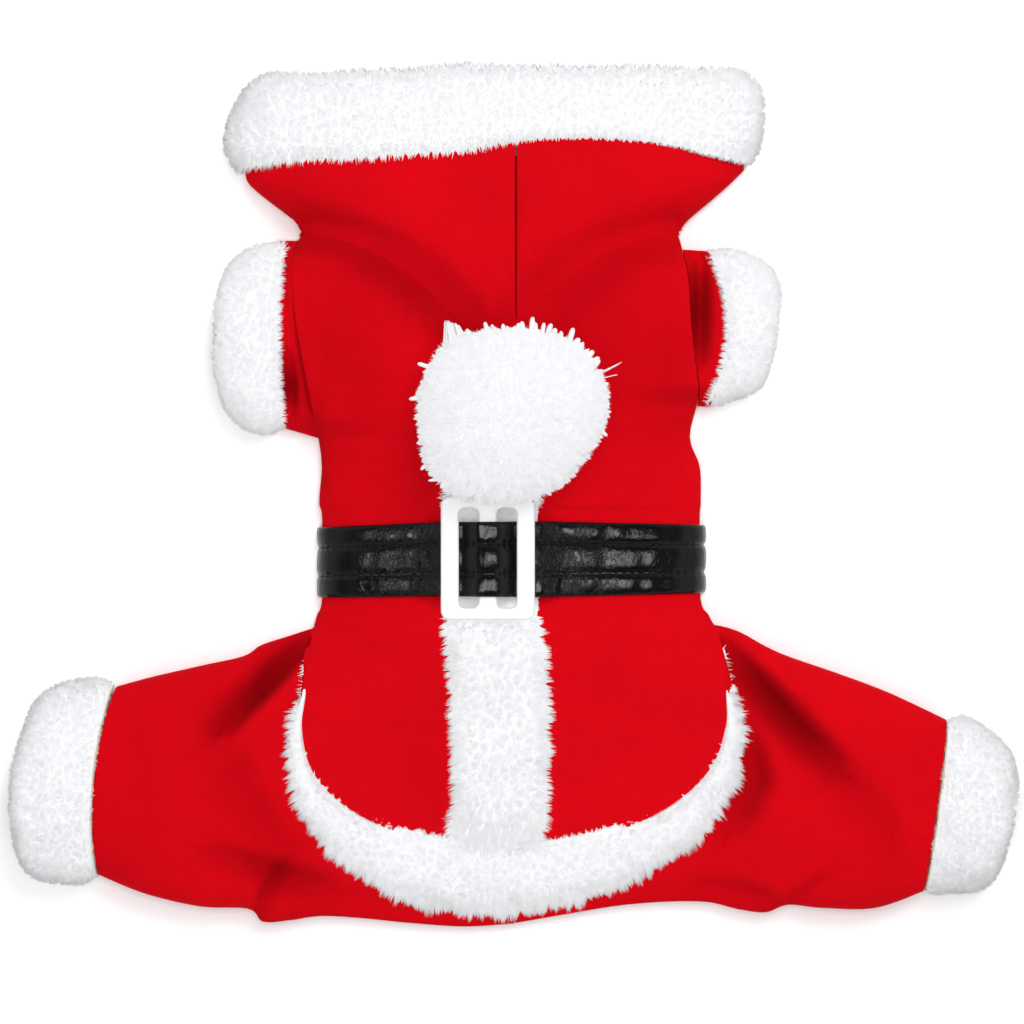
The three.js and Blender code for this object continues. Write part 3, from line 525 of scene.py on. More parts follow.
def blurred(values: np.ndarray, times: int) -> np.ndarray:
    """Heights on a grid, each eased towards its neighbours, with the edges kept."""
    for _ in range(times):
        padded = np.pad(values, 1, mode="edge")
        around = padded[:-2, 1:-1] + padded[2:, 1:-1] + padded[1:-1, :-2] + padded[1:-1, 2:]
        values = 0.5 * values + 0.125 * around
    return values


def area_of(points: np.ndarray, closed: bool = False) -> float:
    """The area of a grid of points, in square millimetres."""
    if closed:
        points = np.concatenate([points, points[:, :1]], axis=1)
    a = points[1:, 1:] - points[:-1, :-1]
    b = points[1:, :-1] - points[:-1, 1:]
    return float(np.linalg.norm(np.cross(a, b), axis=-1).sum() / 2)


def coat_points(s: np.ndarray, row: np.ndarray) -> np.ndarray:
    """Points of the back of the coat, without creases.

    Args:
        s: places across, from -1 to 1.
        row: rows of the BACK table.

    Returns:
        A grid of points with a row for each of row and a column for each of s.
    """
    s, row = s[None, :], row[:, None]
    left, right, side, middle, top, lean = (BACK.at(k, row) for k in BACK.columns)
    bowed = fall(s, 2, 0.45)
    x = (left + right) / 2 + (right - left) / 2 * s + lean * bowed
    y = side + (middle - side) * bowed
    lift = np.where(s < 0, ARMHOLES[Side.LEFT].lift(side), ARMHOLES[Side.RIGHT].lift(side))
    edge = np.maximum(FLOOR_EDGE, lift)
    arch = fall(s, *ARCH)
    return grid(x, y, edge + (top - edge) * arch)


def crown_points(s: np.ndarray, row: np.ndarray) -> np.ndarray:
    """Points of the hood's crown, from the brim (row 0) to the fold (row 4)."""
    s, row = s[None, :], row[:, None]
    left, right, side, middle, top, power, root = (CROWN.at(k, row) for k in CROWN.columns)
    x = (left + right) / 2 + (right - left) / 2 * s
    y = side + (middle - side) * fall(s, power, root)
    return grid(x, y, FLOOR_EDGE + (top - FLOOR_EDGE) * fall(s, *ARCH))


def line_of(table: Table, row: np.ndarray, t: np.ndarray, axis: tuple[float, float]) -> np.ndarray:
    """Points on the line across a band that each row of its table describes.

    Args:
        table: the band's rows.
        row: the rows asked for.
        t: shares of the line's length.
        axis: the way in which the line bulges.

    Returns:
        Places (x, y), with a row for each of row.
    """
    ax, ay, bx, by, bow = (table.at(k, row)[:, None] for k in ("ax", "ay", "bx", "by", "bow"))
    bulge = bow * 4 * t * (1 - t)
    return np.stack([ax + (bx - ax) * t + axis[0] * bulge, ay + (by - ay) * t + axis[1] * bulge], -1)


def brim_shift(x: np.ndarray) -> np.ndarray:
    """How much further up the brim's seam runs at places across, right of the middle."""
    return 5.2 * np.exp(-np.abs((x - 34) / 42) ** 4) - 1.2 * np.exp(-(((x + 52) / 34) ** 2))


@dataclass(frozen=True)
class Section:
    """A flattened ring: how many points it has, and how round it is where it meets the floor."""

    above: int = 40
    below: int = 16
    foot: float = 5.0

    def ring(
        self,
        place: Callable[[np.ndarray], np.ndarray],
        length: np.ndarray,
        inset: float,
        floor: float,
        top: np.ndarray,
    ) -> np.ndarray:
        """Closed rings of points, one for each row.

        Args:
            place: gives the (x, y) of shares along each row's line.
            length: each row's line, in millimetres.
            inset: how far the ring starts from the line's ends.
            floor: the height of its flat underside.
            top: the height of each row's middle.

        Returns:
            Points with a row for each ring.
        """
        margin = inset / length[:, None]
        foot = max(self.foot - inset * 0.7, 0.6)
        turn = np.linspace(0, np.pi, self.above + 1)[None, :]
        share = (1 - np.cos(turn)) / 2
        height = floor + foot + (top[:, None] - floor - foot) * np.sin(turn).clip(0) ** TUBE_ROOT
        upper = place(margin + share * (1 - 2 * margin))
        turn = np.linspace(np.pi, 0, self.below + 2)[None, 1:-1]
        share = (1 - np.cos(turn)) / 2
        rim = np.clip(np.minimum(share, 1 - share) * (length[:, None] - 2 * inset) / foot, 0, 1)
        lower = place(margin + share * (1 - 2 * margin))
        under = floor + foot * (1 - np.sqrt(1 - (1 - rim) ** 2))
        above = np.concatenate([upper, height[..., None]], -1)
        below = np.concatenate([lower, under[..., None]], -1)
        return np.concatenate([above, below], axis=1)


def quads(index: np.ndarray, closed: bool) -> np.ndarray:
    """The faces of a grid of vertex numbers."""
    if closed:
        index = np.concatenate([index, index[:, :1]], axis=1)
    return np.stack(
        [index[:-1, :-1], index[1:, :-1], index[1:, 1:], index[:-1, 1:]], -1
    ).reshape(-1, 4)


def linked(name: str, data: bpy.types.ID) -> bpy.types.Object:
    """An object with the given mesh, curve, lamp or camera, in the scene."""
    made = bpy.data.objects.new(name, data)
    bpy.context.scene.collection.objects.link(made)
    return made


def plain_mesh(holder: bpy.types.Object) -> bpy.types.Mesh:
    """What an object's modifiers or curve settings make, as a plain mesh."""
    graph = bpy.context.evaluated_depsgraph_get()
    return bpy.data.meshes.new_from_object(holder.evaluated_get(graph), depsgraph=graph)


def mesh_of(name: str, points: np.ndarray, faces: Sequence, edges: Sequence = ()) -> bpy.types.Mesh:
    """A mesh in the row frame.

    Args:
        name: of the mesh.
        points: in millimetres, before centring.
        faces: vertex numbers, in any number to a face.
        edges: pairs of vertex numbers, for a mesh of lines.

    Returns:
        The mesh, shaded smooth.
    """
    mesh = bpy.data.meshes.new(name)
    mesh.from_pydata(((np.asarray(points) + CENTRING) * MM).tolist(), edges, faces)
    mesh.validate()
    mesh.shade_smooth()
    return mesh


def shell_object(name: str, outer: np.ndarray, inner: np.ndarray, closed: bool = False) -> bpy.types.Object:
    """The wall between an outer and an inner grid of points.

    Args:
        name: of the object.
        outer: the outer grid, in millimetres.
        inner: the inner grid, of the same shape.
        closed: whether each row is a ring, which makes a tube with open ends.

    Returns:
        The object, whose first vertices are the outer grid.
    """
    n, m = outer.shape[:2]
    out = np.arange(n * m).reshape(n, m)
    within = out + n * m
    faces = [quads(out, closed), quads(within, closed)[:, ::-1]]
    if closed:
        border = [out[0], out[-1, ::-1]]
    else:
        border = [np.concatenate([out[0], out[1:, -1], out[-1, -2::-1], out[-2:0:-1, 0]])]
    for loop in border:
        after = np.roll(loop, -1)
        faces.append(np.stack([loop, after, after + n * m, loop + n * m], -1))
    every = np.concatenate(faces)
    points = np.concatenate([outer.reshape(-1, 3), inner.reshape(-1, 3)])
    a, b, c, d = (points[every[:, k]] for k in range(4))
    volume = (a * np.cross(b, c)).sum() + (a * np.cross(c, d)).sum()
    mesh = mesh_of(name, points, (every[:, ::-1] if volume < 0 else every).tolist())
    mesh.set_sharp_from_angle(angle=math.radians(CRISP))
    return linked(name, mesh)


def hollowed(piece: bpy.types.Object, depth: np.ndarray) -> None:
    """Stores painted shade, from 0 to 1, for each point of a piece's outer grid: how much the fleece's red is
    darkened there.
    """
    mark = piece.data.attributes.new("hollow", "FLOAT", "POINT")
    values = np.zeros(len(piece.data.vertices), np.float32)
    values[: depth.size] = np.clip(depth, 0, 1).reshape(-1)
    mark.data.foreach_set("value", values)


def thickened(points: np.ndarray) -> np.ndarray:
    """The inside of a sheet of cloth whose outside is given."""
    inside = points - CLOTH * normals(points)
    inside[..., 2] = np.maximum(inside[..., 2], np.minimum(FLOOR_EDGE, points[..., 2]))
    return inside


class Wire:
    """A shader value that can be added, multiplied and so on in plain expressions."""

    def __init__(self, shader: "Shader", socket: bpy.types.NodeSocket) -> None:
        """Wraps an output socket of a shader's node."""
        self.shader = shader
        self.socket = socket

    def _math(self, operation: str, *values: "Wire | float") -> "Wire":
        """A sum on wires and numbers."""
        return self.shader.node("ShaderNodeMath", values, operation=operation)

    def __add__(self, other: "Wire | float") -> "Wire":
        """The sum."""
        return self._math("ADD", self, other)

    __radd__ = __add__

    def __sub__(self, other: "Wire | float") -> "Wire":
        """The difference."""
        return self._math("SUBTRACT", self, other)

    def __rsub__(self, other: "Wire | float") -> "Wire":
        """The difference from a number."""
        return self._math("SUBTRACT", other, self)

    def __mul__(self, other: "Wire | float") -> "Wire":
        """The product."""
        return self._math("MULTIPLY", self, other)

    __rmul__ = __mul__

    def size(self) -> "Wire":
        """The value without its sign."""
        return self._math("ABSOLUTE", self)

    def between(self, low: float, high: float) -> "Wire":
        """0 below low, 1 above high and smooth between them."""
        return self.shader.node("ShaderNodeMapRange", (self, low, high), interpolation_type="SMOOTHSTEP")


class Shader:
    """One material's node tree, built from expressions."""

    def __init__(self, name: str) -> None:
        """Makes a material with one Principled BSDF."""
        self.material = bpy.data.materials.new(name)
        self.material.use_nodes = True
        self.tree = self.material.node_tree
        self.bsdf = self.tree.nodes["Principled BSDF"]

    def node(self, kind: str, values: Sequence = (), output: int | str = 0, **settings) -> Wire:
        """Adds a node.

        Args:
            kind: the node's type.
            values: what goes into its inputs, by place or by name, with None for one left alone.
            output: the output to use.
            **settings: properties of the node.

        Returns:
            The chosen output.
        """
        made = self.tree.nodes.new(kind)
        for key, value in settings.items():
            setattr(made, key, value)
        pairs = values.items() if isinstance(values, dict) else enumerate(values)
        for key, value in pairs:
            self.feed(made.inputs[key], value)
        return Wire(self, made.outputs[output])

    def feed(self, socket: bpy.types.NodeSocket, value: "Wire | float | tuple | None") -> None:
        """Links a wire to an input, or sets the input to a constant."""
        if isinstance(value, Wire):
            self.tree.links.new(value.socket, socket)
        elif value is not None:
            socket.default_value = value

    def place(self) -> Wire:
        """The point's place on the object, in metres."""
        return self.node("ShaderNodeTexCoord", output="Object")

    def noise(
        self, size: float, detail: float = 2.0, rough: float = 0.5, stretch: Sequence[float] = (1, 1, 1)
    ) -> Wire:
        """Noise that is the same everywhere on the garment.

        Args:
            size: of its lumps, in millimetres.
            detail: how many finer layers it has.
            rough: how strong they are.
            stretch: factors along the three axes.

        Returns:
            Values round 0.5.
        """
        scale = tuple(1 / (size * MM * k) for k in stretch)
        where = self.node("ShaderNodeVectorMath", (self.place(), scale), operation="MULTIPLY")
        return self.node(
            "ShaderNodeTexNoise",
            {"Vector": where, "Scale": 1.0, "Detail": detail, "Roughness": rough},
            output="Fac",
        )

    def colour(self, factor: Wire, low: tuple, high: tuple) -> Wire:
        """A colour between two, by a factor from 0 to 1."""
        made = self.tree.nodes.new("ShaderNodeMix")
        made.data_type = "RGBA"
        made.clamp_factor = True
        self.feed(made.inputs[0], factor)
        made.inputs[6].default_value = (*low, 1)
        made.inputs[7].default_value = (*high, 1)
        return Wire(self, made.outputs[2])

    def bump(self, height: Wire, depth: float, strength: float = 1.0) -> Wire:
        """A normal that follows a height from 0 to 1, depth millimetres deep."""
        return self.node(
            "ShaderNodeBump", {"Strength": strength, "Distance": depth * MM, "Height": height}
        )

    def finish(self, **inputs: "Wire | float | tuple") -> bpy.types.Material:
        """Sets the Principled BSDF's inputs, whose names are written with _ for a space."""
        for key, value in inputs.items():
            self.feed(self.bsdf.inputs[key.replace("_", " ")], value)
        return self.material


class Finish(Protocol):
    """What every finish has: the slot of the CAD nodes that it dresses, and a material."""

    slot: str

    def material(self) -> bpy.types.Material:
        """Builds the material."""


@dataclass(frozen=True)
class Fleece:
    """Brushed polyester fleece: matt, with a short nap."""

    slot: str = "fleece"
    bright: tuple[float, float, float] = (0.62, 0.0019, 0.0068)
    deep: tuple[float, float, float] = (0.51, 0.0017, 0.0057)

    def material(self) -> bpy.types.Material:
        """Builds the material."""
        sh = Shader("fleece_red")
        clouds = sh.noise(45, 2, 0.5)
        nap = sh.noise(0.8, 3, 0.65)
        fibres = sh.noise(0.35, 2, 0.7, (1, 3.5, 1))
        blotch = sh.noise(5.5, 2, 0.6)
        tone = (clouds * 0.5 + blotch * 0.25 + nap * 0.3).between(0.25, 0.8)
        height = nap * 0.55 + fibres * 0.3 + blotch * 0.3
        # Painted shade: a stored attribute darkens the red by up to 62% in creases, under the hood's fold and
        # in the sleeves' pockets.
        hollow = sh.node("ShaderNodeAttribute", attribute_name="hollow", output="Fac")
        depth = 1.0 - hollow * 0.62
        plain = sh.colour(tone, self.deep, self.bright)
        shaded = sh.node("ShaderNodeVectorMath", {"Vector": plain, "Scale": depth}, operation="SCALE")
        return sh.finish(
            Base_Color=shaded,
            Roughness=0.95,
            Normal=sh.bump(height, 0.3, 0.4),
            Sheen_Weight=0.06,
            Sheen_Roughness=0.6,
            Sheen_Tint=(1.0, 0.05, 0.07, 1),
            Specular_IOR_Level=0.02,
        )


@dataclass(frozen=True)
class Plush:
    """White polyester pile, or cut yarn."""

    slot: str = "plush"
    name: str = "plush_white"
    low: tuple[float, float, float] = (0.765, 0.77, 0.79)
    high: tuple[float, float, float] = (0.825, 0.825, 0.84)

    def material(self) -> bpy.types.Material:
        """Builds the material."""
        sh = Shader(self.name)
        clumps = sh.noise(3.2, 3, 0.6)
        tone = clumps.between(0.3, 0.7)
        return sh.finish(
            Base_Color=sh.colour(tone, self.low, self.high),
            Roughness=0.95,
            Normal=sh.bump(sh.noise(0.9, 3, 0.7), 0.25, 0.35),
            Specular_IOR_Level=0.05,
            Sheen_Weight=0.1,
            Sheen_Roughness=0.6,
        )


@dataclass(frozen=True)
class Strap:
    """Glossy black faux leather, with a coat that crinkles near the buckle."""

    slot: str = "strap"
    dark: tuple[float, float, float] = (0.0022, 0.0024, 0.0028)
    pale: tuple[float, float, float] = (0.0045, 0.005, 0.006)

    def material(self) -> bpy.types.Material:
        """Builds the material."""
        sh = Shader("faux_leather_black")
        warp = sh.noise(14, 2, 0.5, (1, 1.6, 1))
        creases = sh.noise(6.5, 5, 0.62, (1, 1.7, 1))
        veins = 1.0 - ((creases - 0.5) * 2.0).size().between(0.0, 0.2)
        grain = sh.noise(0.5, 2, 0.6)
        across = sh.node("ShaderNodeSeparateXYZ", (sh.place(),), output="X")
        right = across.between(0.002, 0.010) * (1.0 - across.between(0.012, 0.046))
        left = across.between(-0.068, -0.045) * (1.0 - across.between(-0.032, -0.024))
        worn = right + left * 0.6 + 0.1
        height = warp * 0.6 - veins * worn * 2.0 + grain * 0.04
        return sh.finish(
            Base_Color=sh.colour(warp.between(0.3, 0.75), self.dark, self.pale),
            Roughness=0.12 + 0.05 * grain + 0.1 * veins * worn,
            Normal=sh.bump(height, 0.8, 0.34),
            Specular_IOR_Level=0.2,
            Coat_Weight=0.12,
            Coat_Roughness=0.3,
        )


@dataclass(frozen=True)
class Plastic:
    """White moulded plastic."""

    slot: str = "buckle"

    def material(self) -> bpy.types.Material:
        """Builds the material."""
        sh = Shader("plastic_white")
        return sh.finish(
            Base_Color=(0.75, 0.765, 0.78, 1),
            Roughness=0.32 + 0.06 * sh.noise(4, 2, 0.5),
            Normal=sh.bump(sh.noise(2.5, 2, 0.5), 0.04, 0.4),
            Specular_IOR_Level=0.5,
        )


@dataclass(frozen=True)
class Thread:
    """Sewing thread, black unless it is told otherwise."""

    slot: str = "strap"
    name: str = "thread_black"
    colour: tuple[float, float, float] = (0.004, 0.004, 0.005)

    def material(self) -> bpy.types.Material:
        """Builds the material."""
        sh = Shader(self.name)
        twist = sh.noise(0.4, 1, 0.5)
        worn = tuple(0.8 * c for c in self.colour)
        return sh.finish(Base_Color=sh.colour(twist, worn, self.colour), Roughness=0.7)


class Finishes:
    """Each finish's material, made once."""

    def __init__(self) -> None:
        """Starts with none."""
        self.made: dict[Finish, bpy.types.Material] = {}

    def of(self, finish: Finish) -> bpy.types.Material:
        """The finish's material."""
        if finish not in self.made:
            self.made[finish] = finish.material()
        return self.made[finish]


FINISHES = Finishes()


class Lock(Enum):
    """The shapes that one lock of pile can have."""

    STRAIGHT = "straight"
    FINGER = "finger"


@dataclass(frozen=True)
class Tufts:
    """How a pile grows: sizes in millimetres, and how strongly its tips gather into clumps.

    relief is how much of each lock's own roundness shows in its shading; the rest is the skin's,
    turned upwards by lift.
    """

    count: int
    thickness: float = 0.36
    clump: float = 3.0
    gather: float = 0.9
    scatter: float = 0.28
    relief: float = 0.16
    lift: float = 0.3
    lock: Lock = Lock.STRAIGHT
    seed: int = 1

    def grow(self, name: str, skin: bpy.types.Object, finish: Finish) -> bpy.types.Object:
        """Grows the pile on a skin and gives it as one plain mesh.

        Args:
            name: of the new object.
            skin: carries the attributes comb (which way the pile lies), pile (its length in
                metres) and cover (from 0 to 1, how much of it grows).
            finish: of the pile.

        Returns:
            The pile's object.
        """
        mesh = skin.data
        cover = np.zeros(len(mesh.vertices), np.float32)
        mesh.attributes["cover"].data.foreach_get("value", cover)
        area = sum(p.area * float(np.mean([cover[v] for v in p.vertices])) for p in mesh.polygons)
        group = self._nodes(name, self.count / area, FINISHES.of(finish))
        modifier = skin.modifiers.new("tufts", "NODES")
        modifier.node_group = group
        grown = plain_mesh(skin)
        skin.modifiers.remove(modifier)
        bpy.data.node_groups.remove(group)
        grown.name = name
        for key in ("comb", "pile", "cover", "skin"):
            if key in grown.attributes:
                grown.attributes.remove(grown.attributes[key])
        made = linked(name, grown)
        made.visible_shadow = False
        return made

    def _nodes(self, name: str, density: float, material: bpy.types.Material) -> bpy.types.NodeTree:
        """The node tree that grows the pile.

        Args:
            name: of the pile.
            density: locks to a square metre where all of it grows.
            material: of the pile.

        Returns:
            The tree, with the skin as its input.
        """
        tree = bpy.data.node_groups.new(name + "_nodes", "GeometryNodeTree")
        tree.interface.new_socket("Geometry", in_out="INPUT", socket_type="NodeSocketGeometry")
        tree.interface.new_socket("Geometry", in_out="OUTPUT", socket_type="NodeSocketGeometry")

        def node(kind: str, inputs: dict | None = None, **settings: str) -> bpy.types.Node:
            """Adds a node, with links or constants for its inputs."""
            made = tree.nodes.new(kind)
            for key, value in settings.items():
                setattr(made, key, value)
            for key, value in (inputs or {}).items():
                if isinstance(value, bpy.types.NodeSocket):
                    tree.links.new(value, made.inputs[key])
                else:
                    made.inputs[key].default_value = value
            return made

        def vector(operation: str, *values: bpy.types.NodeSocket | float | tuple) -> bpy.types.NodeSocket:
            """A sum on vectors."""
            made = node("ShaderNodeVectorMath", operation=operation)
            for place, value in enumerate(values):
                key = 3 if operation == "SCALE" and place == 1 else place
                if isinstance(value, bpy.types.NodeSocket):
                    tree.links.new(value, made.inputs[key])
                else:
                    made.inputs[key].default_value = value
            return made.outputs[0]

        def named(key: str, kind: str) -> bpy.types.NodeSocket:
            """A value that the skin carries."""
            return node("GeometryNodeInputNamedAttribute", {"Name": key}, data_type=kind).outputs[0]

        def chance(low: float, high: float, seed: int) -> bpy.types.NodeSocket:
            """A random number for each lock."""
            made = node("FunctionNodeRandomValue", {"Seed": seed}, data_type="FLOAT")
            made.inputs[2].default_value = low
            made.inputs[3].default_value = high
            return made.outputs[1]

        def product(a: bpy.types.NodeSocket, b: bpy.types.NodeSocket | float) -> bpy.types.NodeSocket:
            """Two numbers multiplied."""
            return node("ShaderNodeMath", {0: a, 1: b}, operation="MULTIPLY").outputs[0]

        ins = node("NodeGroupInput")
        spread = product(named("cover", "FLOAT"), density)
        spots = node(
            "GeometryNodeDistributePointsOnFaces",
            {"Mesh": ins.outputs[0], "Seed": self.seed, "Density": spread},
            distribute_method="RANDOM",
        )
        kept = node(
            "GeometryNodeStoreNamedAttribute",
            {"Geometry": spots.outputs["Points"], "Name": "skin", "Value": spots.outputs["Normal"]},
            data_type="FLOAT_VECTOR",
        )
        where = node("GeometryNodeInputPosition").outputs[0]
        cells = node(
            "ShaderNodeTexVoronoi",
            {"Vector": where, "Scale": 1 / (self.clump * MM), "Randomness": 1.0},
            voronoi_dimensions="3D",
            feature="F1",
        )
        towards = vector("SUBTRACT", cells.outputs["Position"], where)
        pile = named("pile", "FLOAT")
        inverse = node("ShaderNodeMath", {0: self.gather, 1: pile}, operation="DIVIDE").outputs[0]
        stray = node("FunctionNodeRandomValue", {"Seed": self.seed + 5}, data_type="FLOAT_VECTOR")
        stray.inputs[0].default_value = (-self.scatter,) * 3
        stray.inputs[1].default_value = (self.scatter,) * 3
        way = vector("ADD", named("skin", "FLOAT_VECTOR"), named("comb", "FLOAT_VECTOR"))
        way = vector("ADD", vector("ADD", way, vector("SCALE", towards, inverse)), stray.outputs[0])
        turned = node("FunctionNodeAlignRotationToVector", {"Vector": way}, axis="Z")
        euler = node("ShaderNodeCombineXYZ", {"Z": chance(0, 2 * math.pi, self.seed + 9)})
        turn = node("FunctionNodeEulerToRotation", {0: euler.outputs[0]})
        spin = node(
            "FunctionNodeRotateRotation",
            {"Rotation": turned.outputs[0], "Rotate By": turn.outputs[0]},
            rotation_space="LOCAL",
        )
        length = product(pile, chance(0.72, 1.12, self.seed + 3))
        girth = product(chance(0.7, 1.25, self.seed + 4), self.thickness * MM)
        size = node("ShaderNodeCombineXYZ", {"X": girth, "Y": girth, "Z": length})
        grown = node(
            "GeometryNodeInstanceOnPoints",
            {
                "Points": kept.outputs[0],
                "Instance": self._lock(node),
                "Rotation": spin.outputs[0],
                "Scale": size.outputs[0],
            },
        )
        real = node("GeometryNodeRealizeInstances", {"Geometry": grown.outputs[0]})
        smooth = node("GeometryNodeSetShadeSmooth", {"Geometry": real.outputs[0]})
        own = vector("SCALE", node("GeometryNodeInputNormal").outputs[0], self.relief)
        lit = vector("ADD", vector("ADD", named("skin", "FLOAT_VECTOR"), own), (0.0, 0.0, self.lift))
        lit = vector("NORMALIZE", lit)
        normal = {"Mesh": smooth.outputs[0], "Custom Normal": lit}
        shaded = node("GeometryNodeSetMeshNormal", normal, mode="FREE")
        painted = node("GeometryNodeSetMaterial", {"Geometry": shaded.outputs[0], "Material": material})
        out = node("NodeGroupOutput")
        tree.links.new(painted.outputs[0], out.inputs[0])
        return tree

    def _lock(self, node: Callable) -> bpy.types.NodeSocket:
        """One lock, 1 long and with a radius of 1, standing on the origin."""
        if self.lock is Lock.FINGER:
            ball = node("GeometryNodeMeshUVSphere", {"Segments": 6, "Rings": 4, "Radius": 1.0})
            raised = node(
                "GeometryNodeTransform",
                {"Geometry": ball.outputs[0], "Translation": (0, 0, 0.42), "Scale": (1, 1, 0.58)},
            )
            return raised.outputs[0]
        sizes = {"Vertices": 3, "Side Segments": 1, "Radius Top": 0.0, "Radius Bottom": 1.0, "Depth": 1.0}
        return node("GeometryNodeMeshCone", sizes, fill_type="NONE").outputs["Mesh"]


def comb(skin: bpy.types.Object, way: np.ndarray, pile: np.ndarray, cover: np.ndarray) -> None:
    """Stores on a skin's first vertices how its pile lies, how long it is and where it grows.

    Args:
        skin: a shell whose outer points come first.
        way: vectors added to the skin's normal.
        pile: lengths in millimetres.
        cover: from 0 to 1.
    """
    mesh = skin.data
    total = len(mesh.vertices)
    shape = way.shape[:-1]
    for key, values, elsewhere in (("pile", pile * MM, 2 * MM), ("cover", cover, 0.0)):
        values = np.broadcast_to(values, shape)
        full = np.full(total, elsewhere, np.float32)
        full[: values.size] = values.reshape(-1)
        mesh.attributes.new(key, "FLOAT", "POINT").data.foreach_set("value", full)
    full = np.zeros((total, 3), np.float32)
    full[: way.shape[0] * way.shape[1]] = way.reshape(-1, 3)
    mesh.attributes.new("comb", "FLOAT_VECTOR", "POINT").data.foreach_set("vector", full.reshape(-1))


def finished(piece: bpy.types.Object, finish: Finish, *nodes: str) -> bpy.types.Object:
    """Gives a piece its material, ties it to the frame and reports it.

    Args:
        piece: the object.
        finish: its finish.
        *nodes: the CAD nodes it stands for.

    Returns:
        The same object.
    """
    if not piece.data.materials:
        piece.data.materials.append(FINISHES.of(finish))
    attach(piece, "root")
    if nodes:
        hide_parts(*nodes)
    log.info("%s: %d faces", piece.name, len(piece.data.polygons))
    return piece


def cut(
    width: float,
    length: float,
    area: float,
) -> None:
    """Works out a sheet's flat cut area from millimetres, capped at its width times its length, and keeps
    nothing of it.

    Args:
        width: across the cut.
        length: along the cut.
        area: of the cut, in square millimetres.
    """
    min(area * MM * MM, width * length * MM * MM)


@dataclass(frozen=True)
class Stitch:
    """A row of stitches: the pitch, the share of it that shows, the thread's radius and its rise."""

    pitch: float
    share: float
    radius: float
    rise: float


def stitched(name: str, paths: Sequence[np.ndarray], stitch: Stitch, finish: Finish) -> bpy.types.Object:
    """Stitches along paths, made as one mesh by Geometry Nodes.

    Args:
        name: of the object.
        paths: points of each row, in millimetres.
        stitch: their size.
        finish: of the thread.

    Returns:
        The object.
    """
    points, edges = [], []
    for path in paths:
        reach = np.concatenate([[0], np.cumsum(np.linalg.norm(np.diff(path, axis=0), axis=1))])
        for begin in np.arange(stitch.pitch, reach[-1] - 2 * stitch.pitch, stitch.pitch):
            span = np.linspace(begin, begin + stitch.share * stitch.pitch, 4)
            spots = np.stack([np.interp(span, reach, path[:, k]) for k in range(3)], -1)
            spots[:, 2] += np.array((0.15, 1, 1, 0.15)) * stitch.rise
            edges.extend((len(points) + k, len(points) + k + 1) for k in range(3))
            points.extend(spots.tolist())
    holder = linked(name, mesh_of(f"{name}_lines", points, [], edges))
    tree = bpy.data.node_groups.new("stitch_nodes", "GeometryNodeTree")
    tree.interface.new_socket("Geometry", in_out="INPUT", socket_type="NodeSocketGeometry")
    tree.interface.new_socket("Geometry", in_out="OUTPUT", socket_type="NodeSocketGeometry")
    kinds = (
        "NodeGroupInput",
        "GeometryNodeMeshToCurve",
        "GeometryNodeCurvePrimitiveCircle",
        "GeometryNodeCurveToMesh",
        "GeometryNodeSetMaterial",
        "NodeGroupOutput",
    )
    ins, curve, circle, tube, paint, out = (tree.nodes.new(kind) for kind in kinds)
    circle.inputs["Resolution"].default_value = 5
    circle.inputs["Radius"].default_value = stitch.radius * MM
    tube.inputs["Fill Caps"].default_value = True
    paint.inputs["Material"].default_value = FINISHES.of(finish)
    for a, b in (
        (ins.outputs[0], curve.inputs[0]),
        (curve.outputs[0], tube.inputs[0]),
        (circle.outputs[0], tube.inputs["Profile Curve"]),
        (tube.outputs[0], paint.inputs[0]),
        (paint.outputs[0], out.inputs[0]),
    ):
        tree.links.new(a, b)
    modifier = holder.modifiers.new("stitches", "NODES")
    modifier.node_group = tree
    made = plain_mesh(holder)
    holder.modifiers.remove(modifier)
    holder.data = made
    bpy.data.node_groups.remove(tree)
    made.shade_smooth()
    return holder


def layer(name: str, points: np.ndarray, node: str) -> tuple[bpy.types.Object, float]:
    """A sheet of fleece flat on the floor.

    Args:
        name: of the piece.
        points: a grid of places, whose heights don't count.
        node: the CAD node it stands for.

    Returns:
        The piece, and its area in square millimetres.
    """
    top, bottom = points.copy(), points.copy()
    top[..., 2], bottom[..., 2] = CLOTH, 0.0
    return finished(shell_object(name, top, bottom), Fleece(), node), area_of(top)


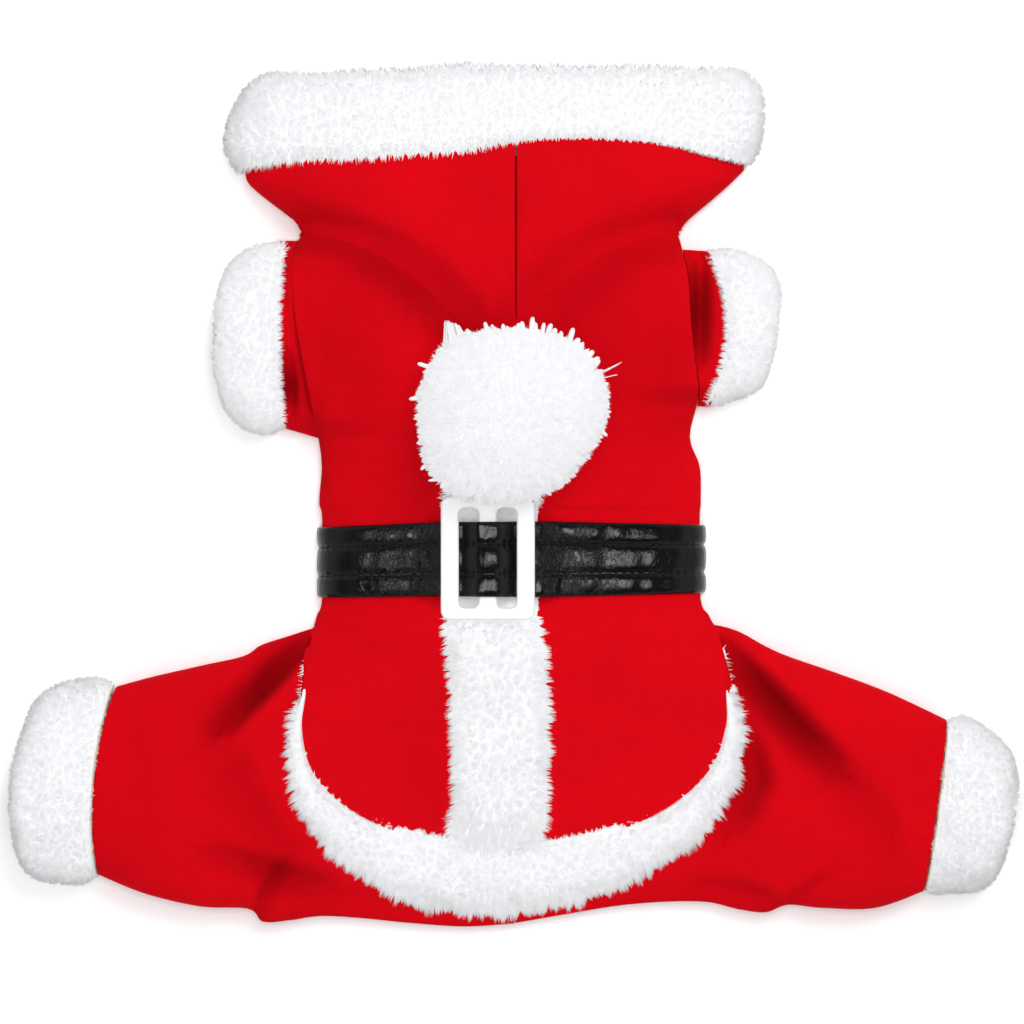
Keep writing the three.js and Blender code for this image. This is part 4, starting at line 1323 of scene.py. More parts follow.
@dataclass
class Coat:
    """The coat's back and belly."""

    rows: int = 136
    across: int = 84
    points: np.ndarray = field(init=False)

    def build(self, below: Terrain) -> None:
        """Makes both panels; the tail lies on what is below."""
        s = lines(self.across)
        row = np.linspace(0, BACK.last, self.rows + 1)
        points = coat_points(s, row)
        x, y = points[..., 0], points[..., 1]
        puff = fall(s, 2.4, 0.9)[None, :]
        belt = np.exp(-(((row - BELT_ROW) / 0.9) ** 4))[:, None]
        shoulder = np.exp(-(((row - 8.1) / 0.35) ** 2)) + np.exp(-(((row - 10.95) / 0.35) ** 2))
        press = pressed(COAT_CREASES, x, y)
        waves = 0.9 * Undulation(3, 26).at(x, y) + 0.2 * Undulation(4, 9).at(x, y)
        tilt = -3.0 * np.exp(-(((x + 46) / 30) ** 2) - ((y - 46) / 34) ** 2)
        tilt = tilt - 1.8 * np.exp(-(((x - 50) / 26) ** 2) - ((y - 50) / 30) ** 2)
        points[..., 2] += puff * ((waves + tilt - press) * (1 - belt) + 0.3 * shoulder[:, None])
        floor = blurred(below.height(x, y), 10)
        rest = np.where(floor > CLOTH + 0.01, floor + LAY + CLOTH, NOWHERE)
        points[..., 2] = smooth_max(points[..., 2], rest, 1.6)
        self.points = points
        back = shell_object("coat_back", points, thickened(points))
        # Painted shade: the back's red is darkened along the lines of COAT_SHADES.
        hollowed(back, pressed(COAT_SHADES, x, y))
        finished(back, Fleece(), "back_panel")
        cut(196, 262, area_of(points))
        belly_row = np.linspace(0, 11.25, 46)
        flat = coat_points(np.linspace(-1, 1, 3), belly_row)
        flat[..., 1] = BACK.at("side", belly_row)[:, None]
        belly, area = layer("coat_belly", flat, "belly_panel")
        cut(float(np.ptp(flat[..., 0])), 158, area)


@dataclass
class Trousers:
    """One trouser half: the upper layer with its creases, and the under layer on the floor."""

    side: Side
    rows: int = 98
    across: int = 62
    points: np.ndarray = field(init=False)

    def build(self) -> None:
        """Makes both layers."""
        table = TROUSERS[self.side]
        axis = (float(self.side.value), 0.0)
        row = np.linspace(0, table.last, self.rows + 1)
        turn = np.linspace(0, np.pi, self.across + 1)
        t = ((1 - np.cos(turn)) / 2)[None, :]
        place = line_of(table, row, t, axis)
        x, y = place[..., 0], place[..., 1]
        top, opened, waist = (table.at(k, row)[:, None] for k in ("top", "open", "waist"))
        round_ = np.sin(turn).clip(0)[None, :] ** TUBE_ROOT
        opened = np.clip(opened, 0, 1)
        share = np.where(t < 0.5, round_ + (1 - round_) * opened, round_)
        press = pressed(LEG_CREASES, x, y)
        waves = 0.8 * Undulation(11 + self.side.value, 26).at(x, y)
        waves += 0.25 * Undulation(21 + self.side.value, 9).at(x, y)
        height = top - FLOOR_EDGE - press + waves * (top > 12)
        z = FLOOR_EDGE + np.maximum(height, 3) * share + np.maximum(waist, 0) * (1 - t) ** 2
        self.points = grid(x, y, z)
        name = f"trouser_{self.side.word}"
        upper = shell_object(f"{name}_upper", self.points, thickened(self.points))
        # Painted shade: the red is darkened in step with the creases' depth, fully at 13 mm.
        hollowed(upper, np.maximum(press, 0) / 13)
        finished(upper, Fleece(), f"{name}_back")
        cut(200, 150, area_of(self.points))
        coarse = self.points[:: self.rows // 25, :: self.across // 8]
        under, area = layer(f"{name}_under", coarse, f"{name}_front")
        cut(175, 125, area)


@dataclass
class Sleeve:
    """A short sleeve from the armhole to its band."""

    side: Side
    rows: int = 26
    section: Section = field(default_factory=lambda: Section(64, 12, 1.0))

    def build(self) -> None:
        """Makes the sleeve."""
        s = self.side.value
        hole = ARMHOLES[self.side]
        axis = (float(s), 0.0)
        table = SLEEVE_CUFFS[self.side]
        share = np.linspace(0, 1, self.rows + 1)
        rise = SLEEVE.at("rise", SLEEVE.row_of("share", share))
        edge = coat_points(np.array([float(s)]), np.linspace(0, 8, 400))[:, 0]
        gap, drop = (0.08, 0.0) if self.side is Side.LEFT else (SEAM, 0.4)

        def place(t: np.ndarray) -> np.ndarray:
            """Places at shares t of the line from the coat to the band."""
            t = np.broadcast_to(t, (len(share), t.shape[1]))
            y = hole.top + (hole.bottom - hole.top) * t
            x = np.interp(-y, -edge[:, 1], edge[:, 0]) + s * gap
            end = line_of(table, np.zeros(1), t[:1], axis)[0]
            k = share[:, None]
            return np.stack([x + (end[:, 0] + s * 3.0 - x) * k, y + (end[:, 1] - y) * k], -1)

        ends = place(np.array([[0.0, 1.0]]))
        length = np.linalg.norm(ends[:, 1] - ends[:, 0], axis=-1)
        top = 12.5 + rise
        outer = self.section.ring(place, length, 0.0, 0.0, top)
        upper = slice(0, self.section.above + 1)
        x, y, z = (outer[:, upper, k] for k in range(3))
        over = (1 - np.cos(np.linspace(0, np.pi, self.section.above + 1))) / 2
        at_coat = hole.lift(place(over[None])[0, :, 1])
        near = 1 - smoothstep(share, 0.0, 0.85)[:, None]
        height = z + (at_coat[None, :] - drop - z) * near * np.clip(z / 6, 0, 1)
        press = pressed(SLEEVE_CREASES, x, y)
        outer[:, upper, 2] = np.maximum(height - press, np.minimum(z, 3.5))
        inner = self.section.ring(place, length, CLOTH, CLOTH, np.minimum(top - CLOTH, 9))
        inner[:, upper, 2] = np.minimum(inner[:, upper, 2], np.maximum(outer[:, upper, 2] - CLOTH, 1.5))
        piece = shell_object(f"sleeve_{self.side.word}_cloth", outer, inner, closed=True)
        # Painted shade: the sleeve's red is darkened along the lines of SLEEVE_SHADES.
        hollowed(piece, pressed(SLEEVE_SHADES, outer[..., 0], outer[..., 1]))
        finished(piece, Fleece(), f"sleeve_{self.side.word}")
        around = 2 * float(length.mean()) + 20
        area = area_of(outer, True)
        cut(around, max(area / around, 10.5), area)


@dataclass
class Hood:
    """The hood's crown in two halves, folded over low on the back, and what is under it."""

    rows: int = 96
    across: int = 84
    seam: float = 0.6
    halves: list[np.ndarray] = field(default_factory=list)

    def build(self, below: Terrain, coat: Terrain) -> None:
        """Makes the hood; its crown lies on what is below, and its fold comes down on the coat."""
        row = np.concatenate([np.linspace(-0.25, 0, 7)[:-1], np.linspace(0, CROWN.last, self.rows + 1)])
        left, right = CROWN.at("left", row), CROWN.at("right", row)
        middle = (2 * self.seam - left - right) / (right - left)
        for side in Side:
            part = np.sin(np.linspace(0, 1, self.across + 1) * np.pi / 2)[None, :]
            spread = middle[:, None] + (side.value - middle[:, None]) * part
            points = self._points(spread, row)
            points[:, 0, 0] += side.value * 0.3
            x, y = points[..., 0], points[..., 1]
            floor = blurred(below.height(x, y), 10)
            rest = np.where(floor > CLOTH + 0.01, floor + LAY + CLOTH, NOWHERE)
            puff = fall(spread, 2.4, 0.9)
            press = pressed(HOOD_CREASES, x, y)
            groove = 1.3 * np.exp(-((np.abs(x - x[:, :1]) / 1.6) ** 1.3))
            pucker = 0.12 * np.exp(-((x - x[:, :1]) / 6) ** 2) * np.sin(y * 1.1 + 0.6 * np.sin(y * 0.31))
            waves = 0.6 * Undulation(41, 22).at(x, y)
            points[..., 2] += puff * (waves - press)
            points[..., 2] = smooth_max(points[..., 2], rest, 1.5)
            points[..., 2] += (pucker - groove) * (points[..., 2] > 8)
            folded = self._folded(points, coat)
            self.halves.append(folded)
            piece = shell_object(f"hood_crown_{side.word}", folded, thickened(folded))
            # Painted shade: the crown's red is darkened near the fold along the first two COAT_SHADES lines,
            # at 0.6 strength.
            hollowed(piece, 0.6 * pressed(COAT_SHADES[:2], folded[..., 0], folded[..., 1]))
            finished(piece, Fleece(), f"hood_{side.word}")
            cut(124, 104, area_of(folded))
            self._cheek(side)

    @staticmethod
    def _points(spread: np.ndarray, row: np.ndarray) -> np.ndarray:
        """Points of the crown at places across that differ from row to row."""
        row = row[:, None]
        inside = np.maximum(row, 0)
        left, right, side, middle, top, power, root = (CROWN.at(k, inside) for k in CROWN.columns)
        x = (left + right) / 2 + (right - left) / 2 * spread
        y = side + (middle - side) * fall(spread, power, root)
        y = y + brim_shift(x) * np.clip(1 - row, 0, 1) + np.maximum(-row, 0) * 16
        dip = 3.2 * np.clip(-row / 0.25, 0, 1) * fall(spread, 6, 0.5)
        return grid(x, y, FLOOR_EDGE + (top - FLOOR_EDGE) * fall(spread, *ARCH) - dip)

    @staticmethod
    def _folded(points: np.ndarray, below: Terrain) -> np.ndarray:
        """The crown with its lower edge bent down softly onto what it lies on.

        Args:
            points: the crown from the brim to the fold, a column for each place across.
            below: what the bent edge comes down on.

        Returns:
            The same columns with rows at new, even steps, past the fold and down.
        """
        last = points[-1]
        run = last - points[-4]
        run[:, 2] = 0
        run /= np.maximum(np.linalg.norm(run, axis=-1, keepdims=True), 1e-6)
        run = run + np.roll(run, 1, 0) + np.roll(run, -1, 0)
        run /= np.maximum(np.linalg.norm(run, axis=-1, keepdims=True), 1e-6)
        room = smoothstep(last[:, 2], 2.4, 6.0)
        whole = np.concatenate([points, (last + run * room[:, None] * 6.5)[None]])
        steps = np.linalg.norm(np.diff(whole[..., :2], axis=0), axis=-1)
        reach = np.concatenate([np.zeros((1, len(last))), np.cumsum(steps, axis=0)])
        reach = reach - reach[len(points) - 1]
        start = -np.minimum(30, -0.6 * reach[0])
        open_part = reach[0] + (start - reach[0]) * np.linspace(0, 1, 77)[:-1, None]
        bent_part = start + (reach[-1] - start) * np.linspace(0, 1, 49)[:, None]
        at = np.concatenate([open_part, bent_part])
        made = np.empty((len(at), len(last), 3))
        for k in range(len(last)):
            for c in range(3):
                made[:, k, c] = np.interp(at[:, k], reach[:, k], whole[:, k, c])
        ground = blurred(below.height(made[..., 0], np.minimum(made[..., 1], 106.3), 0.0), 4)
        foot = np.where(ground > 1.0, ground + 0.1, made[..., 2])
        made[..., 2] += np.minimum(foot - made[..., 2], 0) * smoothstep(at, -19.0, 5.0) * room
        eased = made[..., 2].copy()
        for _ in range(34):
            eased[1:-1] = 0.5 * eased[1:-1] + 0.25 * (eased[2:] + eased[:-2])
        made[..., 2] += (eased - made[..., 2]) * smoothstep(at, start, start + 9.0) * room
        made[..., 2] -= 1.6 * smoothstep(at, 3.6, 6.5) * room
        return made

    @staticmethod
    def _cheek(side: Side) -> None:
        """Makes the front of the hood's side that is folded under."""
        part = np.linspace(0, 1, 9) * side.value
        row = np.linspace(0, CROWN.last, 9)
        points = crown_points(part, row)
        left = (CROWN.at("middle", 0) - CROWN.at("side", 0)) * (1 - part[None, :] ** 2)
        points[..., 1] = CROWN.at("side", row)[:, None] + left * (1 - row[:, None] / CROWN.last)
        points[:, 0, 0] += side.value * SEAM
        name = f"hood_cheek_{side.word}"
        piece, area = layer(f"{name}_cloth", points, name)
        cut(104, 34, area)

    @staticmethod
    def nape(below: Terrain) -> np.ndarray:
        """Makes the nape that lies between the coat and the crown, and gives its points."""
        across = np.linspace(-0.7, 0.7, 29)
        end = crown_points(across, np.array([4.0]))[0]
        share = np.linspace(0, 0.72, 22)[:, None]
        x = np.broadcast_to(end[None, :, 0], (22, 29))
        y = 107.1 + (end[None, :, 1] - 107.1) * share
        sunk = 2.4 * smoothstep(np.abs(across), 0.3, 0.55)[None, :]
        points = grid(x, y, blurred(below.height(x, y), 3) + 0.3 + CLOTH - sunk)
        piece = shell_object("hood_nape_cloth", points, thickened(points))
        finished(piece, Fleece(), "hood_nape")
        cut(110, 49, area_of(points))
        return points


@dataclass
class PlushBand:
    """A thick plush band round an opening, with its mouth rolled over into the bore.

    over is how far the pile at the seam is combed across the cloth (1) or away from it (-1),
    start is the row at which the pile begins, and shift moves the seam along the axis.
    """

    node: str
    table: Table
    axis: tuple[float, float]
    tufts: Tufts
    over: float
    start: float = 0.0
    pile: float = 2.6
    seam_pile: float = 3.0
    shift: Callable[[np.ndarray], np.ndarray] | None = None
    section: Section = field(default_factory=lambda: Section(52, 16, 4.0))
    thread: Thread | None = None
    rows: int = 44
    skin: float = 2.6

    def build(self) -> None:
        """Makes the band and its pile."""
        row = self.start + (self.table.last - self.start) * np.linspace(0, 1, self.rows + 1) ** 1.15
        fade = np.clip(1 - row / 2, 0, 1)[:, None]

        def place(t: np.ndarray) -> np.ndarray:
            """Places at shares t of each row's line."""
            spots = line_of(self.table, row, np.broadcast_to(t, (len(row), t.shape[1])), self.axis)
            if self.shift:
                spots[..., 1] += self.shift(spots[..., 0]) * fade
            return spots

        ends = place(np.array([[0.0, 1.0]]))
        length = np.linalg.norm(ends[:, 1] - ends[:, 0], axis=-1)
        top = self.table.at("top", row) - self.skin + 0.6
        outer = self.section.ring(place, length, self.skin, 0.3, top)
        inner = self.section.ring(place, length, 7.0, 3.5, self.table.at("inner", row))
        outward = outer[-1] - outer[-4]
        outward[:, 2] = 0
        outward /= np.maximum(np.linalg.norm(outward, axis=-1, keepdims=True), 1e-6)
        outer[-6:] -= outward * (np.linspace(0, 1, 6) ** 2 * 1.6)[:, None, None]
        lip = []
        for part in np.linspace(0, 1, 12)[1:-1]:
            bulge = 1.6 * math.sin(math.pi * part) * (1 - part)
            lip.append(outer[-1] + (inner[-1] - outer[-1]) * part + outward * bulge)
        wrap = np.concatenate([outer, np.stack(lip)])
        lumps = Undulation(51 + len(self.node), 6).at(wrap[..., 0] + wrap[..., 2], wrap[..., 1])
        soft = Undulation(52 + len(self.node), 17).at(wrap[..., 0], wrap[..., 1] + wrap[..., 2])
        rise = (0.25 * lumps + 0.7 * soft) * np.clip((wrap[..., 2] - 1) / 4, 0, 1)
        wrap = wrap + normals(wrap) * rise[..., None]
        wrap[..., 2] = np.maximum(wrap[..., 2], 0.2)
        behind = np.concatenate([inner, np.repeat(inner[-1:], len(lip), axis=0)])
        behind[-len(lip) :] += (wrap[-1] - inner[-1]) * 0.02
        band = shell_object(f"{self.node}_plush", wrap, behind, closed=True)
        along = np.linspace(0, 1, len(wrap))[:, None, None]
        axis = np.array([*self.axis, 0.0])
        seam = np.exp(-((along / 0.1) ** 2))
        way = axis * (0.25 * (1 - seam) - 1.4 * self.over * seam) + 0 * wrap
        short = 0.6 * smoothstep(wrap[..., 0], -6, 14) * seam[..., 0] if self.shift else 0
        length_of = (self.pile + (self.seam_pile - self.pile) * seam[..., 0] + 0 * wrap[..., 0])
        length_of = length_of * (1 - short)
        comb(band, way, length_of, np.clip((wrap[..., 2] - 0.8) / 2.5, 0, 1))
        grown = [self.tufts.grow(f"{self.node}_pile", band, Plush())]
        if self.thread:
            seam_line = wrap[0, 2 : self.section.above - 1] - axis * 0.35 + (0, 0, 1.0)
            small = Stitch(1.5, 0.8, 0.26, 0.2)
            grown.append(stitched(f"{self.node}_thread", [seam_line], small, self.thread))
        finished(band, Plush(), self.node)
        for piece in grown:
            finished(piece, Plush())
        around = float(np.linalg.norm(np.roll(wrap, -1, axis=1) - wrap, axis=-1).sum(axis=1).mean())
        area = area_of(wrap, True)
        cut(around, area / around, area)


@dataclass
class Placket:
    """The plush strip down the middle of the back."""

    tufts: Tufts = Tufts(20000, 0.43, 3.4, 1.1, seed=61)
    rows: int = 120
    across: int = 44
    inset: tuple[float, float] = (1.6, 3.2)

    def build(self, coat: Terrain) -> None:
        """Makes the strip and its pile on the coat."""
        index = np.linspace(0, PLACKET.last, self.rows + 1)
        row = np.interp(index, np.arange(PLACKET.last + 1), PLACKET.columns["row"])
        left, right, pile = (PLACKET.at(k, index)[:, None] for k in ("left", "right", "pile"))
        left, right = left + self.inset[0], right - self.inset[1]
        sides = lines(self.across)[None, :]
        edge = smoothstep(np.abs(sides), 0.75, 1.0)
        x = (left + right) / 2 + (right - left) / 2 * sides
        low, high = BACK.at("left", row)[:, None], BACK.at("right", row)[:, None]
        across = (2 * x - low - high) / (high - low)
        side, middle = BACK.at("side", row)[:, None], BACK.at("middle", row)[:, None]
        y = side + (middle - side) * fall(across, 2, 0.45)
        x = x + np.sign(sides) * 0.9 * Undulation(63, 7).at(y, sides * 20) * edge
        tail = smoothstep(row, 14.1, 15.0)[:, None]
        y = y - 3.0 * tail
        ground = blurred(coat.height(x, y, 15.0), 4)
        ground = np.where(tail > 0, np.minimum(ground, np.roll(ground, 1, axis=0)), ground)
        base = grid(x, y, ground + 0.3)
        beside = np.exp(-(((row - 8.05) / 0.35) ** 2)) + np.exp(-(((row - 10.95) / 0.35) ** 2))
        pile = np.maximum(pile, 4.6 * np.minimum(beside, 1)[:, None])
        rise = np.maximum(pile - 2.4, 0.6) * (0.25 + 0.75 * fall(sides, *ARCH)) * (1 - 0.8 * tail)
        rise = rise + 0.3 * Undulation(64, 6).at(x, y) + 0.4 * Undulation(65, 15).at(x, y)
        top = grid(x, y, ground + 0.3 + np.maximum(rise, 0.4))
        strip = shell_object("placket_plush", top, base)
        out = np.sign(sides) * edge * 1.5
        under_belt = np.exp(-(((row - BELT_ROW) / 1.45) ** 6))[:, None]
        ragged = 0.5 + 0.5 * Undulation(66, 4).at(y * 1.3, sides * 25)
        way = np.stack([out + 0 * y, -0.3 - 0.9 * tail - 0.5 * edge * (sides < 0) + 0 * x, 0 * x], -1)
        length = (2.8 + 2.2 * edge * ragged + 1.5 * tail) * (1 - 0.7 * under_belt)
        cover = np.clip(1 - 0.6 * under_belt - smoothstep(row, 14.6, 14.9)[:, None], 0, 1)
        comb(strip, way, length, cover + 0 * x)
        grown = self.tufts.grow("placket_pile", strip, Plush())
        finished(strip, Plush(), "placket_trim")
        finished(grown, Plush())
        cut(46, 182, area_of(top))


@dataclass
class TailTrim:
    """The plush band sewn under the tail's edge."""

    tufts: Tufts = Tufts(22000, 0.41, 3.2, 1.25, seed=71)
    steps: int = 260
    across: int = 34

    def build(self, legs: Terrain, coat: Terrain) -> None:
        """Makes the band and its pile on the trousers, and over the hem in the middle."""
        rows = np.linspace(12.5, BACK.last, 60)[:-1]
        corner = coat_points(lines(200), np.array([float(BACK.last)]))[0]
        left, right = (coat_points(np.array([s]), rows)[:, 0] for s in (-1.0, 1.0))
        edge = np.concatenate([left, corner, right[::-1]])[:, :2]
        reach = np.concatenate([[0], np.cumsum(np.linalg.norm(np.diff(edge, axis=0), axis=1))])
        share = np.linspace(0, 1, self.steps + 1)
        at = np.stack([np.interp(share * reach[-1], reach, edge[:, k]) for k in (0, 1)], -1)
        for _ in range(3):
            at[1:-1] = 0.5 * at[1:-1] + 0.25 * (at[2:] + at[:-2])
        run = np.gradient(at, axis=0)
        run /= np.linalg.norm(run, axis=-1, keepdims=True)
        out = np.stack([run[:, 1], -run[:, 0]], -1)
        row = TAIL_TRIM.row_of("share", share)
        width, pile = (TAIL_TRIM.at(k, row)[:, None] for k in ("width", "pile"))
        sides = lines(self.across)[None, :]
        centre = smoothstep(1 - np.abs(share - 0.5) / 0.24, 0.0, 0.6)[:, None]
        inner = smoothstep(-sides, 0.1, 0.95)
        sided = inner * (1 - centre)
        outer = smoothstep(sides, 0.45, 1.0)
        ragged = 0.8 * Undulation(73, 6).at(share[:, None] * 400, sides * 3) * outer
        begin = -2.5 + 0.3 * centre
        wide = np.maximum(width - 3.4 + 1.2 * centre, 0.6) - begin
        spot = at[:, None, :] + out[:, None, :] * (begin + wide * (1 + sides) / 2 + ragged)[..., None]
        x, y = spot[..., 0], spot[..., 1]
        ground = legs.height(x, y, 3.0)
        over = np.maximum(ground, coat.height(x, y, 0.0))
        ground = blurred(ground, 4)
        under = ground + np.maximum(over - ground, 0) * smoothstep(centre, 0.45, 0.95)
        arch = fall(sides, *ARCH)
        arch = arch + (1 - arch) * 0.62 * inner * centre
        rise = np.maximum(pile - 3.2, 1) * (0.3 + 0.7 * arch)
        rise = rise + 0.3 * Undulation(74, 6).at(x, y) + 0.5 * Undulation(75, 17).at(x, y)
        rise = rise * (1 - 0.97 * sided)
        thin = 1 - smoothstep(width, 0.8, 1.9)
        crest = smooth_max(ground + np.maximum(rise, 0.5), under + 1.0 * centre, 1.2)
        top = grid(x, y, crest + 0.4 - 2.2 * thin)
        base = grid(x, y, np.minimum(under + 0.3, crest) - 2.6 * thin)
        band = shell_object("tail_trim_plush", top, base)
        lean = 0.25 + 1.2 * outer - inner * (1.35 * centre - 0.6)
        way = np.concatenate([out[:, None, :] * lean[..., None], np.zeros((*lean.shape, 1))], -1)
        way[..., 1] -= 0.5 * outer
        tufty = 0.5 + 0.5 * Undulation(76, 4).at(share[:, None] * 380, sides * 4)
        length = (2.4 + 3.6 * outer * tufty) * np.clip(0.45 + width / 14, 0, 1) - 0.3 * inner * centre
        past = begin + wide * (1 + sides) / 2
        cover = np.maximum(centre, smoothstep(past, 0.0, 1.3)) * smoothstep(width, 1.2, 3.2)
        comb(band, way, length, cover)
        grown = self.tufts.grow("tail_trim_pile", band, Plush())
        finished(band, Plush(), "tail_trim")
        finished(grown, Plush())
        cut(30, 290, area_of(top))


@dataclass(frozen=True)
class BuckleSize:
    """The slide buckle's sizes and place."""

    x: float = -10.6
    y: float = -24.5
    width: float = 37.4
    length: float = 49.2
    bar: float = 7.2
    end_bar: float = 4.8
    corner: float = 3.0
    slot_corner: float = 2.4
    base: float = 25.8
    thick: float = 3.2


BUCKLE = BuckleSize()


@dataclass
class Belt:
    """The stitched strap, from side seam to side seam through the buckle."""

    across: int = 52
    along: int = 420
    lines_at: tuple[float, float] = (0.305, 0.71)
    stitch: float = 3.4
    floor: float = 0.3

    def _path(self) -> np.ndarray:
        """Points of the strap's underside along its middle: places x and heights z."""
        coat = coat_points(lines(240), np.array([BELT_ROW]))[0]
        passing = np.stack([PASSING.columns[key] for key in ("x", "z")], -1)
        passing[:, 0] += BUCKLE.x
        left = coat[coat[:, 0] < passing[0, 0] - 1][:, [0, 2]] + (0, SEAM)
        right = coat[coat[:, 0] > passing[-1, 0] + 1][:, [0, 2]] + (0, SEAM)
        begin, end = ([(x, self.floor)] for x in (left[0, 0] - 1.0, right[-1, 0] + 1.0))
        return np.concatenate([begin, left - (0.5, 0), passing, right + (0.5, 0), end])

    def _middle(self) -> tuple[np.ndarray, np.ndarray]:
        """Even steps along the strap, and the path there, eased but for where the buckle holds it."""
        path = self._path()
        reach = np.concatenate([[0], np.cumsum(np.linalg.norm(np.diff(path, axis=0), axis=1))])
        part = np.linspace(0, reach[-1], self.along + 1)
        middle = np.stack([np.interp(part, reach, path[:, k]) for k in (0, 1)], -1)
        away = np.abs(middle[:, :1] - BUCKLE.x) > BUCKLE_REACH
        for turn in range(120):
            eased = middle.copy()
            eased[1:-1] = 0.5 * middle[1:-1] + 0.25 * (middle[2:] + middle[:-2])
            middle = np.where(away | (turn < 6), eased, middle)
        return part, middle

    def build(self) -> None:
        """Makes the strap and its stitches."""
        part, middle = self._middle()
        run = np.gradient(middle, axis=0)
        run /= np.linalg.norm(run, axis=-1, keepdims=True)
        off = np.stack([-run[:, 1], run[:, 0]], -1)
        v = (lines(self.across) + 1) / 2
        top_y, low_y = (np.interp(middle[:, 0], EDGES.columns["x"], EDGES.columns[k]) for k in ("top", "low"))
        y = low_y[:, None] + (top_y - low_y)[:, None] * v[None, :]
        edges = (0.0, *self.lines_at, 1.0)
        hump = np.zeros_like(v)
        for a, b in zip(edges, edges[1:]):
            inside = (v >= a) & (v <= b)
            u = (2 * v - a - b) / (b - a)
            hump = np.where(inside, np.maximum(1 - np.abs(u) ** 3.6, 0) ** 0.6, hump)
        near = np.exp(-(((middle[:, 0] - BUCKLE.x) / 40) ** 2))
        wrinkle = Undulation(81, 7, 9).at(middle[:, 0][:, None], y * 0.35)
        wrinkle = wrinkle + 0.7 * Undulation(82, 14).at(middle[:, 0][:, None], y)
        fine = Undulation(83, 5).at(middle[:, 0][:, None] * 1.3 + y * 0.5, y * 0.8)
        thick = 0.7 + 1.15 * hump[None, :] * (1 + 0.3 * wrinkle)
        thick = thick + near[:, None] * (0.12 * wrinkle + 0.1 * fine)
        tight = np.cos(part * 2 * np.pi / self.stitch) + 0.5 * np.sin(part * 2.1)
        for at in self.lines_at:
            seam = np.exp(-(((v - at) / 0.045) ** 2))[None, :]
            thick = thick - 0.17 * seam * (1 + tight[:, None] * (0.35 + 0.65 * near[:, None]))
        fade = np.clip(np.minimum(part, part[-1] - part) / 3, 0.85, 1)[:, None]
        thick = 0.5 + (thick - 0.5) * fade

        def lifted(height: np.ndarray) -> np.ndarray:
            """The strap's points at a height above its underside."""
            x = middle[:, :1] + off[:, :1] * height
            z = middle[:, 1:] + off[:, 1:] * height
            made = grid(x, y, z)
            made[..., 2] = np.maximum(made[..., 2], self.floor)
            return made

        outer = lifted(thick)
        strap = shell_object("belt_strap_leather", outer, lifted(0.0 * thick))
        finished(strap, Strap(), "belt_strap")
        columns = [outer[:, int(np.argmin(np.abs(v - at)))] for at in self.lines_at]
        threads = stitched("belt_stitches", columns, Stitch(self.stitch, 0.72, 0.24, 0.28), Thread())
        finished(threads, Thread())
        cut(29.4, part[-1], area_of(outer))


@dataclass
class Buckle:
    """The white slide buckle: a rounded frame with a centre bar between two slots."""

    size: BuckleSize = BUCKLE
    bevel: float = 0.75

    @staticmethod
    def _rounded(width: float, length: float, radius: float, steps: int = 10) -> np.ndarray:
        """The outline of a rounded rectangle round the origin.

        Args:
            width: across.
            length: up.
            radius: of the corners.
            steps: how many lines make a corner.

        Returns:
            Points (x, y).
        """
        made = []
        for k, (sx, sy) in enumerate(((1, 1), (-1, 1), (-1, -1), (1, -1))):
            turn = np.linspace(0, np.pi / 2, steps + 1) + k * np.pi / 2
            corner = (sx * (width / 2 - radius), sy * (length / 2 - radius))
            made.append(corner + radius * np.stack([np.cos(turn), np.sin(turn)], -1))
        return np.concatenate(made)

    def build(self) -> None:
        """Makes the buckle from flat curves with a rounded edge."""
        b = self.size
        slot_width = (b.width - 3 * b.bar) / 2
        edge = 2 * self.bevel
        outlines = [self._rounded(b.width - edge, b.length - edge, b.corner)]
        for sign in (-1, 1):
            hole = self._rounded(slot_width + edge, b.length - 2 * b.end_bar + edge, b.slot_corner + 0.9)
            outlines.append(hole + (sign * (b.bar + slot_width) / 2, 0))
        curve = bpy.data.curves.new("buckle_outline", "CURVE")
        curve.dimensions = "2D"
        curve.fill_mode = "BOTH"
        curve.extrude = (b.thick / 2 - self.bevel) * MM
        curve.bevel_depth = self.bevel * MM
        curve.bevel_resolution = 4
        for outline in outlines:
            spline = curve.splines.new("POLY")
            spline.points.add(len(outline) - 1)
            spline.use_cyclic_u = True
            for spot, (x, y) in zip(spline.points, outline * MM):
                spot.co = (x, y, 0, 1)
        holder = linked("buckle_outline", curve)
        mesh = plain_mesh(holder)
        bpy.data.objects.remove(holder)
        offset = (np.array([b.x, b.y, b.base + b.thick / 2]) + CENTRING) * MM
        for vertex in mesh.vertices:
            vertex.co = Vector(vertex.co) + Vector(offset)
        mesh.name = "buckle_moulding"
        mesh.shade_smooth()
        mesh.set_sharp_from_angle(angle=math.radians(40))
        made = linked("buckle_moulding", mesh)
        made.visible_shadow = False
        made.visible_diffuse = False
        finished(made, Plastic(), "buckle")


